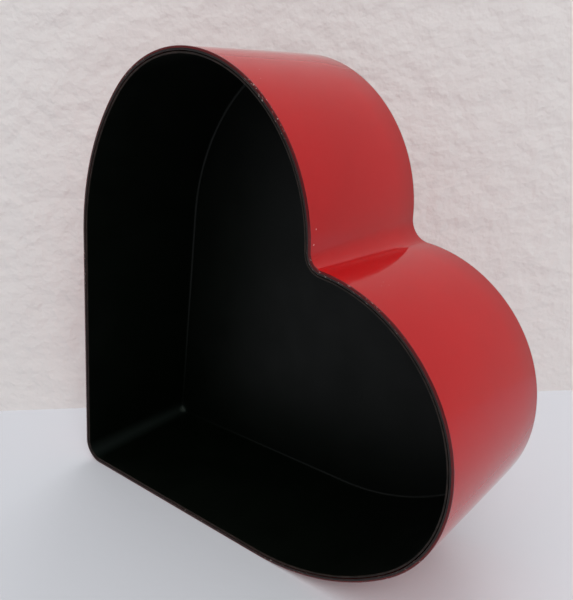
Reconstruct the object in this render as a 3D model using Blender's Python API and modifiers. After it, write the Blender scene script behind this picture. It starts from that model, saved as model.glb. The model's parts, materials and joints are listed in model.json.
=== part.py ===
"""Heart-shaped music box: a drafted, lacquered case with a wind-up cylinder movement inside.

The case lies on one of its straight sides. World axes, in metres: +X along that side, away from the
heart's tip; +Y into the case, from its mouth to its back; +Z up. The origin is the middle of the flat
side that the case rests on.
"""
import math

import bmesh
import bpy
from mathutils import Matrix, Vector

MM = 0.001

# ---------------------------------------------------------------- driving dimensions, in millimetres
# Heart outline at the mouth, one half: tip fillet, straight side, a flat arc, a lobe arc, notch fillet.
HALF_TIP_ANGLE = math.radians(38.8)
TIP_RADIUS = 10.8
SIDE_LENGTH = 137.0
FLANK_RADIUS = 126.4
FLANK_TURN = math.radians(38.0)
LOBE_RADIUS = 70.2
NOTCH_RADIUS = 5.9

CASE_DEPTH = 78.0
DRAFT = 3.8 / CASE_DEPTH  # how far the walls lean inward per unit of depth
SHELL_WALL = 1.8
SHELL_BACK = 3.5
BACK_EDGE_RADIUS = 2.2
RIM_ROUND = 0.5
FIT_GAP = 0.3
LINING_WALL = 0.9
LINING_SETBACK = 0.2  # how far the lining's lip lies behind the rim
FLOOR_LINING = 1.2
FLOOR_DEPTH = CASE_DEPTH - SHELL_BACK - FIT_GAP - FLOOR_LINING  # where the inner floor's face lies

FOOT_HEIGHT = 14.0
FOOT_RADIUS = 8.0
FOOT_TIP_RADIUS = 7.0
FOOT_RECESS = 3.1  # radius of the recess that the screw's head sits in
FOOT_BORE = 1.4
FOOT_FLOOR = 3.0  # rubber left under the screw's head
FOOT_CHAMFER = 0.8
PILOT_RADIUS = 1.0
PILOT_DEPTH = 2.4
TIP_FOOT_FROM_CORNER = 50.0
LOBE_FOOT_REACH = 43.0
LOBE_FOOT_ANGLE = math.radians(66.0)

# Movement frame: u along the cylinder, v from the governor's side to the comb's, w from the floor to
# the mouth. Its corner (u, v) = (0, 0) sits here in the heart's (along-axis, across-axis) plane.
MOVEMENT_ALONG = 215.6
MOVEMENT_ACROSS = -26.0
PLATE_LENGTH = 52.0
PLATE_WIDTH = 38.6
PLATE_LOW = 0.3
PLATE_TOP = 2.8
PLATE_CORNER = 5.0
SEAT = PLATE_TOP + FIT_GAP  # lowest level of what stands on the plate
BACK_LEVEL = FLOOR_DEPTH - CASE_DEPTH  # the case's outer back, as a w level
MOVEMENT_SCREWS = ((4.8, 33.8), (47.2, 33.8), (27.0, 4.5))
MOVEMENT_SCREW_HOLE = 1.45
TAP_RADIUS = 0.95  # tapped holes in the plate
TAP_DEPTH = 1.2  # w level of their ends

CYLINDER_V = 16.0
CYLINDER_W = 10.6
CYLINDER_RADIUS = 6.5
CYLINDER_U = (26.2, 42.6)
PIN_TIP = 0.7
ARBOR_RADIUS = 1.0
RUNNING_GAP = 0.15

NOTES = 18
NOTE_PITCH = 0.88
NOTE_MIDDLE_U = 34.5
TUNE_BEATS = 18
COMB_THICKNESS = 0.9
COMB_LOW = CYLINDER_W - COMB_THICKNESS / 2
COMB_TIP_V = CYLINDER_V + CYLINDER_RADIUS + PIN_TIP + 0.3
COMB_END_V = 38.3
COMB_BASS_ROOT_V = 32.6
COMB_TREBLE_ROOT_V = 30.0
COMB_SCREWS_U = (29.5, 39.5)
COMB_SCREW_V = 35.6

POST_THICKNESS = 1.4
POST_FOOT = 1.0
POST_SCREWS = ((27.8, 24.4), (48.6, 24.4), (48.3, 17.2))

BARREL_U = 12.0
BARREL_V = 16.0
CROWN_TEETH = 40
CROWN_PITCH_RADIUS = 10.8
DRIVE_TEETH = 10
DRIVE_PITCH_RADIUS = CROWN_PITCH_RADIUS * DRIVE_TEETH / CROWN_TEETH
CROWN_INNER = 9.0
CROWN_OUTER = 11.9
CROWN_BODY_LOW = 6.2
BARREL_RADIUS = 9.2
BARREL_WALL = 0.8
BARREL_BORE = 2.2
BARREL_LOW = SEAT + 0.1
BARREL_TOP = 11.6
LID_THICKNESS = 0.7
WIND_ARBOR_RADIUS = 1.5
BRIDGE_LOW = 14.7
BRIDGE_THICKNESS = 1.0
BRIDGE_END_RADIUS = 2.3
PILLARS = ((6.5, 3.2), (17.5, 28.8))
PILLAR_RADIUS = 1.7

KEY_SLEEVE_RADIUS = 2.7
KEY_SLEEVE = (BACK_LEVEL - 6.6, BACK_LEVEL - 1.5)
KEY_BLADE = 1.6
KEY_WING = 4.0
KEY_HOLE = 1.9
KEY_HOLE_IN_SHELL = 3.3
KEY_HOLE_IN_FLOOR = 2.6

MAINSPRING_TURNS = 5
MAINSPRING_STRIP = 0.3
MAINSPRING_RADII = (2.3, 7.9)

GREAT_TEETH = 44
SMALL_TEETH = 10
FINE_MODULE = 0.28
LAY_V = 8.8  # the intermediate arbor
LAY_W = 8.1
LAY_RADIUS = 0.6
WHEEL_TEETH = 24
WHEEL_PITCH_RADIUS = 3.36
WORM_PITCH = 2 * math.pi * WHEEL_PITCH_RADIUS / WHEEL_TEETH
WORM_PITCH_RADIUS = 1.3
WORM_U = 48.0
WORM_V = LAY_V - WHEEL_PITCH_RADIUS - WORM_PITCH_RADIUS
WORM_PIVOT_RADIUS = 0.4
WORM_PIVOTS = (2.0, 17.4)  # w levels of the shaft's two ends
WORM_PIVOT_HOLE = 0.55
WORM_TURNS = 4.5
FAN_RADIUS = 4.4
FAN_LEVELS = (12.3, 16.2)
FAN_BLADE = 0.4

STOP_U = 39.6
STOP_V = 4.1
STOP_LEVEL = 13.7
STOP_THICKNESS = 0.6
STOP_OPEN_ANGLE = math.radians(-25)
STOP_CLEAR_OF_FAN = 0.35

# ---------------------------------------------------------------- materials: colour, metallic, roughness
FINISHES = {
    "red_lacquer": ((0.42, 0.012, 0.016), 0.0, 0.12),
    "black_lining": ((0.006, 0.006, 0.007), 0.0, 0.55),
    "rubber": ((0.02, 0.02, 0.02), 0.0, 0.8),
    "brass": ((0.72, 0.48, 0.18), 1.0, 0.3),
    "steel": ((0.55, 0.56, 0.58), 1.0, 0.3),
    "spring_steel": ((0.22, 0.26, 0.34), 1.0, 0.3),
    "cast_zinc": ((0.48, 0.48, 0.49), 1.0, 0.45),
    "nylon": ((0.78, 0.76, 0.7), 0.0, 0.45),
}


def clear_scene():
    for item in list(bpy.data.objects):
        bpy.data.objects.remove(item, do_unlink=True)


def new_collection(name):
    collection = bpy.data.collections.new(name)
    bpy.context.scene.collection.children.link(collection)
    return collection


def finish(name):
    """The material of that name, made on first use."""
    if name in bpy.data.materials:
        return bpy.data.materials[name]
    colour, metallic, roughness = FINISHES[name]
    material = bpy.data.materials.new(name)
    material.use_nodes = True
    shader = material.node_tree.nodes["Principled BSDF"]
    shader.inputs["Base Color"].default_value = (*colour, 1.0)
    shader.inputs["Metallic"].default_value = metallic
    shader.inputs["Roughness"].default_value = roughness
    material.diffuse_color = (*colour, 1.0)
    return material


class Place:
    """Where a piece goes: its parent frame, its origin in that frame (mm) and which way it turns."""

    def __init__(self, frame, at=(0, 0, 0), turn=(0, 0, 0)):
        self.frame = frame
        self.at = Vector(at) * MM
        self.turn = turn


def put(name, mesh, place, material, collection):
    piece = bpy.data.objects.new(name, mesh)
    collection.objects.link(piece)
    piece.parent = place.frame
    piece.location = place.at
    piece.rotation_euler = place.turn
    if material:
        mesh.materials.clear()
        mesh.materials.append(finish(material))
    return piece


def shade(piece):
    """Smooth shading on round faces, with the edges of flat faces kept sharp."""
    piece.data.shade_smooth()
    piece.data.set_sharp_from_angle(angle=math.radians(32))


def mesh_from(bm, name):
    bmesh.ops.recalc_face_normals(bm, faces=bm.faces)
    mesh = bpy.data.meshes.new(name)
    bm.to_mesh(mesh)
    bm.free()
    return mesh


def turned(name, profile, place, material, collection, steps=32, closed=False):
    """A lathe-turned piece about its own Z. The profile is (radius, height) in mm, down the outer side."""
    mesh = bpy.data.meshes.new(name)
    count = len(profile)
    edges = [(i, i + 1) for i in range(count - 1)] + ([(count - 1, 0)] if closed else [])
    mesh.from_pydata([(radius * MM, 0, height * MM) for radius, height in profile], edges, [])
    piece = put(name, mesh, place, material, collection)
    screw = piece.modifiers.new("Turn", "SCREW")
    screw.axis = "Z"
    screw.steps = steps
    screw.render_steps = steps
    screw.use_merge_vertices = True
    screw.merge_threshold = 0.000002
    screw.use_smooth_shade = False
    return piece


def rod(name, radius, low, high, place, material, collection, steps=16, tip=0.15):
    """A solid round rod with a small chamfer at each end."""
    profile = [(0, high), (radius - tip, high), (radius, high - tip)]
    profile += [(radius, low + tip), (radius - tip, low), (0, low)]
    return turned(name, profile, place, material, collection, steps)


def ring(name, outer, bore, low, high, place, material, collection, steps=24):
    profile = [(bore, high), (outer, high), (outer, low), (bore, low)]
    return turned(name, profile, place, material, collection, steps, closed=True)


def circle_points(centre, radius, count, start=0.0):
    step = 2 * math.pi / count
    return [
        (centre[0] + radius * math.cos(start + i * step), centre[1] + radius * math.sin(start + i * step))
        for i in range(count)
    ]


def arc_points(centre, radius, start, end, count):
    return [
        (
            centre[0] + radius * math.cos(start + (end - start) * i / count),
            centre[1] + radius * math.sin(start + (end - start) * i / count),
        )
        for i in range(count + 1)
    ]


def plate(name, outlines, low, high, place, material, collection):
    """A flat plate: the first outline is its edge and the others are its holes, all in mm."""
    curve = bpy.data.curves.new(name, "CURVE")
    curve.dimensions = "2D"
    curve.fill_mode = "BOTH"
    curve.extrude = (high - low) / 2 * MM
    for outline in outlines:
        spline = curve.splines.new("POLY")
        spline.points.add(len(outline) - 1)
        for point, (x, y) in zip(spline.points, outline):
            point.co = (x * MM, y * MM, 0, 1)
        spline.use_cyclic_u = True
    flat = bpy.data.objects.new(name, curve)
    collection.objects.link(flat)
    bpy.context.view_layer.update()
    solid = bpy.data.meshes.new_from_object(flat.evaluated_get(bpy.context.evaluated_depsgraph_get()))
    bpy.data.objects.remove(flat)
    bm = bmesh.new()
    bm.from_mesh(solid)
    bmesh.ops.remove_doubles(bm, verts=bm.verts, dist=0.000002)
    bmesh.ops.translate(bm, verts=bm.verts, vec=(0, 0, (high + low) / 2 * MM))
    return put(name, mesh_from(bm, name), place, material, collection)


def block(name, low, high, place, material, collection):
    """A box between two corners, in mm, in its parent frame."""
    bm = bmesh.new()
    bmesh.ops.create_cube(bm, size=1.0)
    size = (Vector(high) - Vector(low)) * MM
    middle = (Vector(high) + Vector(low)) / 2 * MM
    bmesh.ops.scale(bm, verts=bm.verts, vec=size)
    bmesh.ops.translate(bm, verts=bm.verts, vec=middle)
    return put(name, mesh_from(bm, name), place, material, collection)


def strap_outline(first, first_radius, second, second_radius, count=8):
    """Outline around two circles, such as a lever or a bridge with round ends."""
    first, second = Vector(first), Vector(second)
    way = second - first
    heading = math.atan2(way.y, way.x)
    lean = math.acos((first_radius - second_radius) / way.length)
    far = arc_points(second, second_radius, heading - lean, heading + lean, count)
    near = arc_points(first, first_radius, heading + lean, heading + 2 * math.pi - lean, count)
    return far + near


def rounded_rectangle(length, width, radius, count=4):
    quarter = math.pi / 2
    centres = [(length - radius, width - radius), (radius, width - radius), (radius, radius)]
    centres.append((length - radius, radius))
    points = []
    for index, centre in enumerate(centres):
        points += arc_points(centre, radius, index * quarter, (index + 1) * quarter, count)
    return points


def gear_outline(teeth, tip, root, start=0.0):
    """Slender straight-sided teeth, the first one centred at the start angle."""
    pitch = 2 * math.pi / teeth
    flank = [(root, -0.24), (tip, -0.09), (tip, 0.09), (root, 0.24)]
    return [
        (
            radius * math.cos(start + (tooth + share) * pitch),
            radius * math.sin(start + (tooth + share) * pitch),
        )
        for tooth in range(teeth)
        for radius, share in flank
    ]


def boolean(piece, other, operation):
    modifier = piece.modifiers.new(operation.title(), "BOOLEAN")
    modifier.operation = operation
    modifier.object = other
    modifier.solver = "EXACT"


def hide_cutter(cutter):
    cutter.hide_render = True
    cutter.display_type = "WIRE"


def bake(piece):
    """Turn the piece's modifiers into plain mesh, so that it can be joined to another."""
    bpy.context.view_layer.update()
    solid = bpy.data.meshes.new_from_object(piece.evaluated_get(bpy.context.evaluated_depsgraph_get()))
    piece.modifiers.clear()
    piece.data = solid


def unite(piece, extras):
    """Boolean union of the piece with the extras, which are removed."""
    for extra in extras:
        boolean(piece, extra, "UNION")
    bake(piece)
    for extra in extras:
        bpy.data.objects.remove(extra)


class Shop:
    """The collections and frames that the pieces go in, and the cutters' own collection."""

    def __init__(self):
        self.parts = new_collection("heart_music_box")
        self.cutters = new_collection("cutters")
        lean = math.atan(DRAFT)
        flat_start = TIP_RADIUS / math.tan(HALF_TIP_ANGLE)
        middle = Vector((flat_start + SIDE_LENGTH / 2, CASE_DEPTH / 2 / math.cos(lean), 0)) * MM
        self.case = self.empty("case_frame", Matrix.Translation(-middle) @ Matrix.Rotation(-lean, 4, "X"))
        along = Vector((math.cos(HALF_TIP_ANGLE), 0, math.sin(HALF_TIP_ANGLE)))
        across = Vector((-math.sin(HALF_TIP_ANGLE), 0, math.cos(HALF_TIP_ANGLE)))
        corner = (along * MOVEMENT_ALONG + across * MOVEMENT_ACROSS + Vector((0, FLOOR_DEPTH, 0))) * MM
        turn = Matrix((-across, along, Vector((0, -1, 0)))).transposed().to_4x4()
        self.movement = self.empty("movement_frame", Matrix.Translation(corner) @ turn, self.case)

    def empty(self, name, matrix, parent=None):
        frame = bpy.data.objects.new(name, None)
        self.parts.objects.link(frame)
        frame.parent = parent
        frame.matrix_local = matrix
        return frame

    def on_plate(self, u=0.0, v=0.0, w=0.0):
        return Place(self.movement, (u, v, w))

    def along_u(self, v, w):
        """A place on an axis along u: the piece's own Z runs along u, its X points to the floor."""
        return Place(self.movement, (0, v, w), (0, math.pi / 2, 0))

    def cut(self, piece, name, radius, low, high, place, steps=10):
        """Drill a round hole in the piece."""
        cutter = rod(name, radius, low, high, place, None, self.cutters, steps, tip=0.01)
        hide_cutter(cutter)
        boolean(piece, cutter, "DIFFERENCE")


# ---------------------------------------------------------------- the heart
def heart_arcs():
    """The upper half's arcs at the mouth: (centre, radius, start angle, end angle, steps, side).

    Side is +1 where the outline bulges outward and -1 in the notch.
    """
    normal_angle = math.pi / 2 + HALF_TIP_ANGLE
    normal = Vector((math.cos(normal_angle), math.sin(normal_angle)))
    side = Vector((math.cos(HALF_TIP_ANGLE), math.sin(HALF_TIP_ANGLE)))
    tip = Vector((TIP_RADIUS / math.sin(HALF_TIP_ANGLE), 0))
    flank_start = tip + TIP_RADIUS * normal + SIDE_LENGTH * side
    flank = flank_start - FLANK_RADIUS * normal
    lobe_angle = normal_angle - FLANK_TURN
    toward_lobe = Vector((math.cos(lobe_angle), math.sin(lobe_angle)))
    lobe = flank + (FLANK_RADIUS - LOBE_RADIUS) * toward_lobe
    notch = Vector((lobe.x + math.sqrt((LOBE_RADIUS + NOTCH_RADIUS) ** 2 - lobe.y**2), 0))
    lobe_end = math.atan2(-lobe.y, notch.x - lobe.x)
    return [
        (tip, TIP_RADIUS, math.pi, normal_angle, 4, 1),
        (flank, FLANK_RADIUS, normal_angle, lobe_angle, 10, 1),
        (lobe, LOBE_RADIUS, lobe_angle, lobe_end, 18, 1),
        (notch, NOTCH_RADIUS, lobe_end + math.pi, math.pi, 3, -1),
    ]


def heart_outline(inset):
    """The whole heart in its (along, across) plane, moved inward by the inset, tip first."""
    half = []
    for centre, radius, start, end, steps, side in heart_arcs():
        for point in arc_points(centre, radius - side * inset, start, end, steps):
            if not half or (Vector(point) - Vector(half[-1])).length > 0.01:
                half.append(point)
    mirrored = [(along, -across) for along, across in reversed(half[1:-1])]
    return half + mirrored


def lobe_centre(side):
    lobe = heart_arcs()[2][0]
    return lobe.x, side * lobe.y


def case_point(along, across, depth):
    """A point of the case, in mm, in the case's own frame."""
    cosine, sine = math.cos(HALF_TIP_ANGLE), math.sin(HALF_TIP_ANGLE)
    return Vector((along * cosine - across * sine, depth, along * sine + across * cosine))


def heart_loft(name, rings, material, shop, closed=False):
    """One body through heart outlines. Each ring is (inset, depth); the ends are flat faces or meet."""
    bm = bmesh.new()
    loops = [
        [bm.verts.new(case_point(along, across, depth) * MM) for along, across in heart_outline(inset)]
        for inset, depth in rings
    ]
    pairs = list(zip(loops, loops[1:]))
    if closed:
        pairs.append((loops[-1], loops[0]))
    else:
        bm.faces.new(loops[0])
        bm.faces.new(loops[-1])
    for first, second in pairs:
        for i in range(len(first)):
            j = (i + 1) % len(first)
            bm.faces.new((first[i], first[j], second[j], second[i]))
    piece = put(name, mesh_from(bm, name), Place(shop.case), material, shop.parts)
    return piece


def back_place(shop, along, across):
    """A place on the case's back, with the piece's own Z pointing out of the case, away from the mouth."""
    return Place(shop.case, case_point(along, across, CASE_DEPTH), (-math.pi / 2, 0, 0))


def foot_spots():
    spots = {"tip": (TIP_FOOT_FROM_CORNER, 0.0)}
    for label, side in (("lower", -1), ("upper", 1)):
        along, across = lobe_centre(side)
        along += LOBE_FOOT_REACH * math.cos(LOBE_FOOT_ANGLE)
        across += side * LOBE_FOOT_REACH * math.sin(LOBE_FOOT_ANGLE)
        spots[label] = (along, across)
    return spots


def make_case(shop):
    make_shell(shop)
    make_linings(shop)
    for label, spot in foot_spots().items():
        make_foot(shop, label, spot)
    make_foot_screws(shop)
    make_eyelet(shop)


def drill_for_movement(shop, piece, label, key_radius, low, high):
    """Holes for the winding arbor and the three movement screws, between two w levels."""
    shop.cut(piece, f"key_hole_in_{label}", key_radius, low, high, shop.on_plate(BARREL_U, BARREL_V), 20)
    for index, (u, v) in enumerate(MOVEMENT_SCREWS):
        place = shop.on_plate(u, v)
        shop.cut(piece, f"screw_hole_in_{label}_{index}", MOVEMENT_SCREW_HOLE, low, high, place)


def make_shell(shop):
    """The lacquered outer shell: from its hidden inside, over the rim, and round the back edge."""
    inner_back = CASE_DEPTH - SHELL_BACK
    rings = [(SHELL_WALL + DRAFT * inner_back, inner_back), (SHELL_WALL, 0)]
    rings += [(RIM_ROUND, 0), (DRAFT * RIM_ROUND, RIM_ROUND)]
    steps = 2
    for step in range(steps + 1):
        angle = math.pi / 2 * step / steps
        inset = DRAFT * CASE_DEPTH + BACK_EDGE_RADIUS * (1 - math.cos(angle))
        rings.append((inset, CASE_DEPTH - BACK_EDGE_RADIUS * (1 - math.sin(angle))))
    shell = heart_loft("outer_shell", rings, "red_lacquer", shop)
    for label, spot in foot_spots().items():
        shop.cut(shell, f"pilot_{label}", PILOT_RADIUS, -PILOT_DEPTH, 1, back_place(shop, *spot))
    drill_for_movement(shop, shell, "shell", KEY_HOLE_IN_SHELL, BACK_LEVEL - 1, 0)


def make_linings(shop):
    """The black board inside: a strip round the wall, and a floor that closes its end."""
    outer = SHELL_WALL + FIT_GAP
    inner = outer + LINING_WALL
    high, low = LINING_SETBACK, FLOOR_DEPTH - FIT_GAP
    wall = [(outer, high), (outer + DRAFT * low, low), (inner + DRAFT * low, low), (inner, high)]
    heart_loft("wall_lining", wall, "black_lining", shop, closed=True)
    edge = outer + DRAFT * FLOOR_DEPTH
    rings = [(edge, FLOOR_DEPTH), (edge, FLOOR_DEPTH + FLOOR_LINING)]
    floor = heart_loft("floor_lining", rings, "black_lining", shop)
    drill_for_movement(shop, floor, "floor", KEY_HOLE_IN_FLOOR, -FLOOR_LINING - 1, 1)


def make_eyelet(shop):
    """The flanged bush that lines the key's hole, pressed in from the back."""
    bore, tube, flange = 2.1, 2.9, 5.2
    inner_end = -FIT_GAP - FLOOR_LINING - 0.2
    flange_face = BACK_LEVEL - FIT_GAP
    profile = [(bore, inner_end), (tube, inner_end), (tube, flange_face), (flange, flange_face)]
    profile += [(flange, flange_face - 0.4), (flange - 0.6, flange_face - 0.8), (bore, flange_face - 0.8)]
    place = shop.on_plate(BARREL_U, BARREL_V)
    turned("key_eyelet", profile, place, "brass", shop.parts, 20, closed=True)


def make_foot(shop, label, spot):
    """The profile runs down the outer side and up through the bore and the screw's recess."""
    profile = [(FOOT_RECESS, FOOT_HEIGHT), (FOOT_TIP_RADIUS - FOOT_CHAMFER, FOOT_HEIGHT)]
    profile += [(FOOT_TIP_RADIUS, FOOT_HEIGHT - FOOT_CHAMFER), (FOOT_RADIUS, FIT_GAP)]
    profile += [(FOOT_BORE, FIT_GAP), (FOOT_BORE, FOOT_FLOOR), (FOOT_RECESS, FOOT_FLOOR)]
    turned(f"foot_{label}", profile, back_place(shop, *spot), "rubber", shop.parts, 24, closed=True)


def screw_profile(head_radius, head_height, shank_radius, shank_length, seat=0.0):
    """A cheese-head screw. Its head stands on the seat level, and its shank goes down from it."""
    top = seat + head_height
    return [
        (0, top),
        (head_radius, top),
        (head_radius, seat),
        (shank_radius, seat),
        (shank_radius, seat - shank_length),
        (0, seat - shank_length),
    ]


def screws(shop, name, places, profile, slot, material="steel"):
    """Identical slotted screws, numbered when there is more than one."""
    top = profile[0][1]
    radius = max(point[0] for point in profile) + 1
    for index, place in enumerate(places):
        label = name if len(places) == 1 else f"{name}_{index + 1}"
        screw = turned(label, profile, place, material, shop.parts, steps=12)
        low, high = (-radius, -slot / 2, top - 0.5), (radius, slot / 2, top + 1)
        cutter = block(f"{label}_slot", low, high, place, None, shop.cutters)
        hide_cutter(cutter)
        boolean(screw, cutter, "DIFFERENCE")


def make_foot_screws(shop):
    places = [back_place(shop, *spot) for spot in foot_spots().values()]
    screws(shop, "foot_screw", places, screw_profile(2.6, 1.8, 0.8, 5.3, FOOT_FLOOR + FIT_GAP), 0.7)


def make_movement_screws(shop):
    """Driven in from the case's back, with their heads outside."""
    level = BACK_LEVEL - FIT_GAP
    places = [Place(shop.movement, (u, v, level), (math.pi, 0, 0)) for u, v in MOVEMENT_SCREWS]
    screws(shop, "movement_screw", places, screw_profile(2.5, 1.3, 1.1, 7.6), 0.6)


# ---------------------------------------------------------------- the movement's fixed parts
def make_bedplate(shop):
    """The cast plate that everything stands on, with a raised rest for the comb."""
    outlines = [rounded_rectangle(PLATE_LENGTH, PLATE_WIDTH, PLATE_CORNER)]
    outlines.append(circle_points((BARREL_U, BARREL_V), WIND_ARBOR_RADIUS + 0.4, 24))
    bedplate = plate("bedplate", outlines, PLATE_LOW, PLATE_TOP, shop.on_plate(), "cast_zinc", shop.parts)
    low, high = (25.0, 31.6, PLATE_TOP - 1), (44.0, COMB_END_V - 0.2, COMB_LOW - FIT_GAP)
    unite(bedplate, [block("comb_rest", low, high, shop.on_plate(), None, shop.parts)])
    for index, (u, v) in enumerate(MOVEMENT_SCREWS):
        shop.cut(bedplate, f"screw_hole_in_plate_{index}", 1.3, 0, 2.4, shop.on_plate(u, v))
    for index, u in enumerate(COMB_SCREWS_U):
        shop.cut(bedplate, f"comb_tap_{index}", 1.05, 5.0, 12, shop.on_plate(u, COMB_SCREW_V))
    shop.cut(bedplate, "worm_pivot_seat", WORM_PIVOT_HOLE, 1.6, 4, shop.on_plate(WORM_U, WORM_V))
    for name, spots in (("post", POST_SCREWS), ("pillar", PILLARS), ("stop", [(STOP_U, STOP_V)])):
        for index, (u, v) in enumerate(spots):
            shop.cut(bedplate, f"{name}_tap_{index}", TAP_RADIUS, TAP_DEPTH, 4, shop.on_plate(u, v))


def note_u(note):
    return NOTE_MIDDLE_U + (note - (NOTES - 1) / 2) * NOTE_PITCH


def make_comb(shop):
    """Steel comb: long bass teeth at low u, short treble teeth at high u."""
    root_half, tip_half = 0.29, 0.2
    low_u, high_u = 25.6, 43.4
    outline = [(low_u, COMB_END_V), (low_u, COMB_BASS_ROOT_V)]
    for note in range(NOTES):
        middle = note_u(note)
        share = note / (NOTES - 1)
        root_v = COMB_BASS_ROOT_V + (COMB_TREBLE_ROOT_V - COMB_BASS_ROOT_V) * share
        outline += [(middle - root_half, root_v), (middle - tip_half, COMB_TIP_V)]
        outline += [(middle + tip_half, COMB_TIP_V), (middle + root_half, root_v)]
    outline += [(high_u, COMB_TREBLE_ROOT_V), (high_u, COMB_END_V)]
    holes = [circle_points((u, COMB_SCREW_V), 1.15, 16) for u in COMB_SCREWS_U]
    top = COMB_LOW + COMB_THICKNESS
    plate("comb", [outline] + holes, COMB_LOW, top, shop.on_plate(), "steel", shop.parts)
    places = [shop.on_plate(u, COMB_SCREW_V, top + FIT_GAP) for u in COMB_SCREWS_U]
    screws(shop, "comb_screw", places, screw_profile(1.9, 1.4, 0.85, 6.0), 0.5, "brass")


def post(shop, name, low_u, outline, bores, foot):
    """An upright bearing plate across u, and its foot: the outline is (v, w), the foot (u, v) corners."""
    profile = [[(-w, v) for v, w in outline]]
    for (v, w), radius in bores:
        profile.append(circle_points((-w, v), radius, 24))
    high_u = low_u + POST_THICKNESS
    upright = plate(name, profile, low_u, high_u, shop.along_u(0, 0), "steel", shop.parts)
    low, high = (*foot[0], SEAT), (*foot[1], SEAT + POST_FOOT)
    unite(upright, [block("foot", low, high, shop.on_plate(), None, shop.parts)])
    return upright


def make_posts(shop):
    """Two posts that carry the cylinder, and the governor's bracket with an arm over the worm."""
    arbor = ((CYLINDER_V, CYLINDER_W), ARBOR_RADIUS + RUNNING_GAP)
    lay = ((LAY_V, LAY_W), LAY_RADIUS + RUNNING_GAP)
    top, step, foot_v = CYLINDER_W + 2.4, SEAT + 2.6, 26.9
    comb_side = [(foot_v, SEAT), (foot_v, SEAT + POST_FOOT), (20.5, step), (18.6, top), (13.4, top)]
    outline = [(13.0, SEAT)] + comb_side
    drive = post(shop, "drive_post", 24.4, outline, [arbor], ((25.0, 21.8), (30.4, foot_v)))
    outline = [(6.6, SEAT)] + comb_side + [(10.4, LAY_W + 2.0), (6.6, LAY_W + 1.2)]
    fly = post(shop, "fly_post", 44.8, outline, [arbor, lay], ((45.4, 21.8), (51.2, foot_v)))
    arm_low, arm_high, foot_v = 17.0, 18.0, 19.6
    outline = [(6.8, SEAT), (foot_v, SEAT), (foot_v, SEAT + POST_FOOT), (13.6, SEAT + 1.8)]
    outline += [(12.6, arm_high), (9.2, arm_high), (9.2, 12.0), (6.8, 11.0)]
    bracket = post(shop, "governor_bracket", 50.0, outline, [lay], ((46.8, 14.9), (50.6, foot_v)))
    arm = strap_outline((WORM_U, WORM_V), 1.5, (50.2, 10.9), 2.2)
    unite(bracket, [plate("arm", [arm], arm_low, arm_high, shop.on_plate(), None, shop.parts)])
    pivot = shop.on_plate(WORM_U, WORM_V)
    shop.cut(bracket, "worm_pivot_cap", WORM_PIVOT_HOLE, arm_low - 1, arm_high - 0.3, pivot)
    for index, (piece, (u, v)) in enumerate(zip((drive, fly, bracket), POST_SCREWS)):
        shop.cut(piece, f"post_hole_{index}", 1.05, 2, 6, shop.on_plate(u, v))
    places = [shop.on_plate(u, v, SEAT + POST_FOOT + FIT_GAP) for u, v in POST_SCREWS]
    screws(shop, "post_screw", places, screw_profile(1.6, 1.1, 0.75, 2.9), 0.45)


def make_bridge(shop):
    """The strap over the barrel that holds the winding arbor's inner end."""
    high = BRIDGE_LOW - FIT_GAP
    for index, (u, v) in enumerate(PILLARS):
        profile = [(TAP_RADIUS, high), (PILLAR_RADIUS, high), (PILLAR_RADIUS, SEAT), (TAP_RADIUS, SEAT)]
        place = shop.on_plate(u, v)
        turned(f"bridge_pillar_{index + 1}", profile, place, "brass", shop.parts, 20, closed=True)
    outlines = [strap_outline(PILLARS[0], BRIDGE_END_RADIUS, PILLARS[1], BRIDGE_END_RADIUS)]
    outlines.append(circle_points((BARREL_U, BARREL_V), WIND_ARBOR_RADIUS + RUNNING_GAP, 24))
    outlines += [circle_points(pillar, TAP_RADIUS, 16) for pillar in PILLARS]
    top = BRIDGE_LOW + BRIDGE_THICKNESS
    plate("barrel_bridge", outlines, BRIDGE_LOW, top, shop.on_plate(), "steel", shop.parts)
    places = [shop.on_plate(u, v, top + FIT_GAP) for u, v in PILLARS]
    screws(shop, "bridge_screw", places, screw_profile(1.6, 1.0, 0.7, 14.0), 0.45)


def wire(name, points, radius, place, material, collection):
    """A round wire through the points, in mm."""
    curve = bpy.data.curves.new(name, "CURVE")
    curve.dimensions = "3D"
    curve.bevel_depth = radius * MM
    curve.bevel_resolution = 1
    curve.use_fill_caps = True
    spline = curve.splines.new("POLY")
    spline.points.add(len(points) - 1)
    for point, position in zip(spline.points, points):
        point.co = (*(Vector(position) * MM), 1)
    piece = bpy.data.objects.new(name, curve)
    collection.objects.link(piece)
    piece.parent = place.frame
    piece.location = place.at
    curve.materials.append(finish(material))
    return piece


def make_clutch_spring(shop):
    """A wire wrapped round the winding arbor: it grips the arbor so that it can't unwind."""
    turns, steps, pitch = 3, 10, 0.46
    wire_radius = 0.19
    coil = WIND_ARBOR_RADIUS + 0.45
    low = BARREL_TOP + FIT_GAP + LID_THICKNESS + 0.35
    points = []
    for step in range(turns * steps + 1):
        angle = 2 * math.pi * step / steps
        points.append((coil * math.cos(angle), coil * math.sin(angle), low + pitch * step / steps))
    points.append((coil + 0.3, 1.6, low + pitch * turns))
    points.append((coil + 0.9, 4.2, low + pitch * turns - 0.1))
    place = shop.on_plate(BARREL_U, BARREL_V)
    wire("clutch_spring", points, wire_radius, place, "spring_steel", shop.parts)


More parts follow.
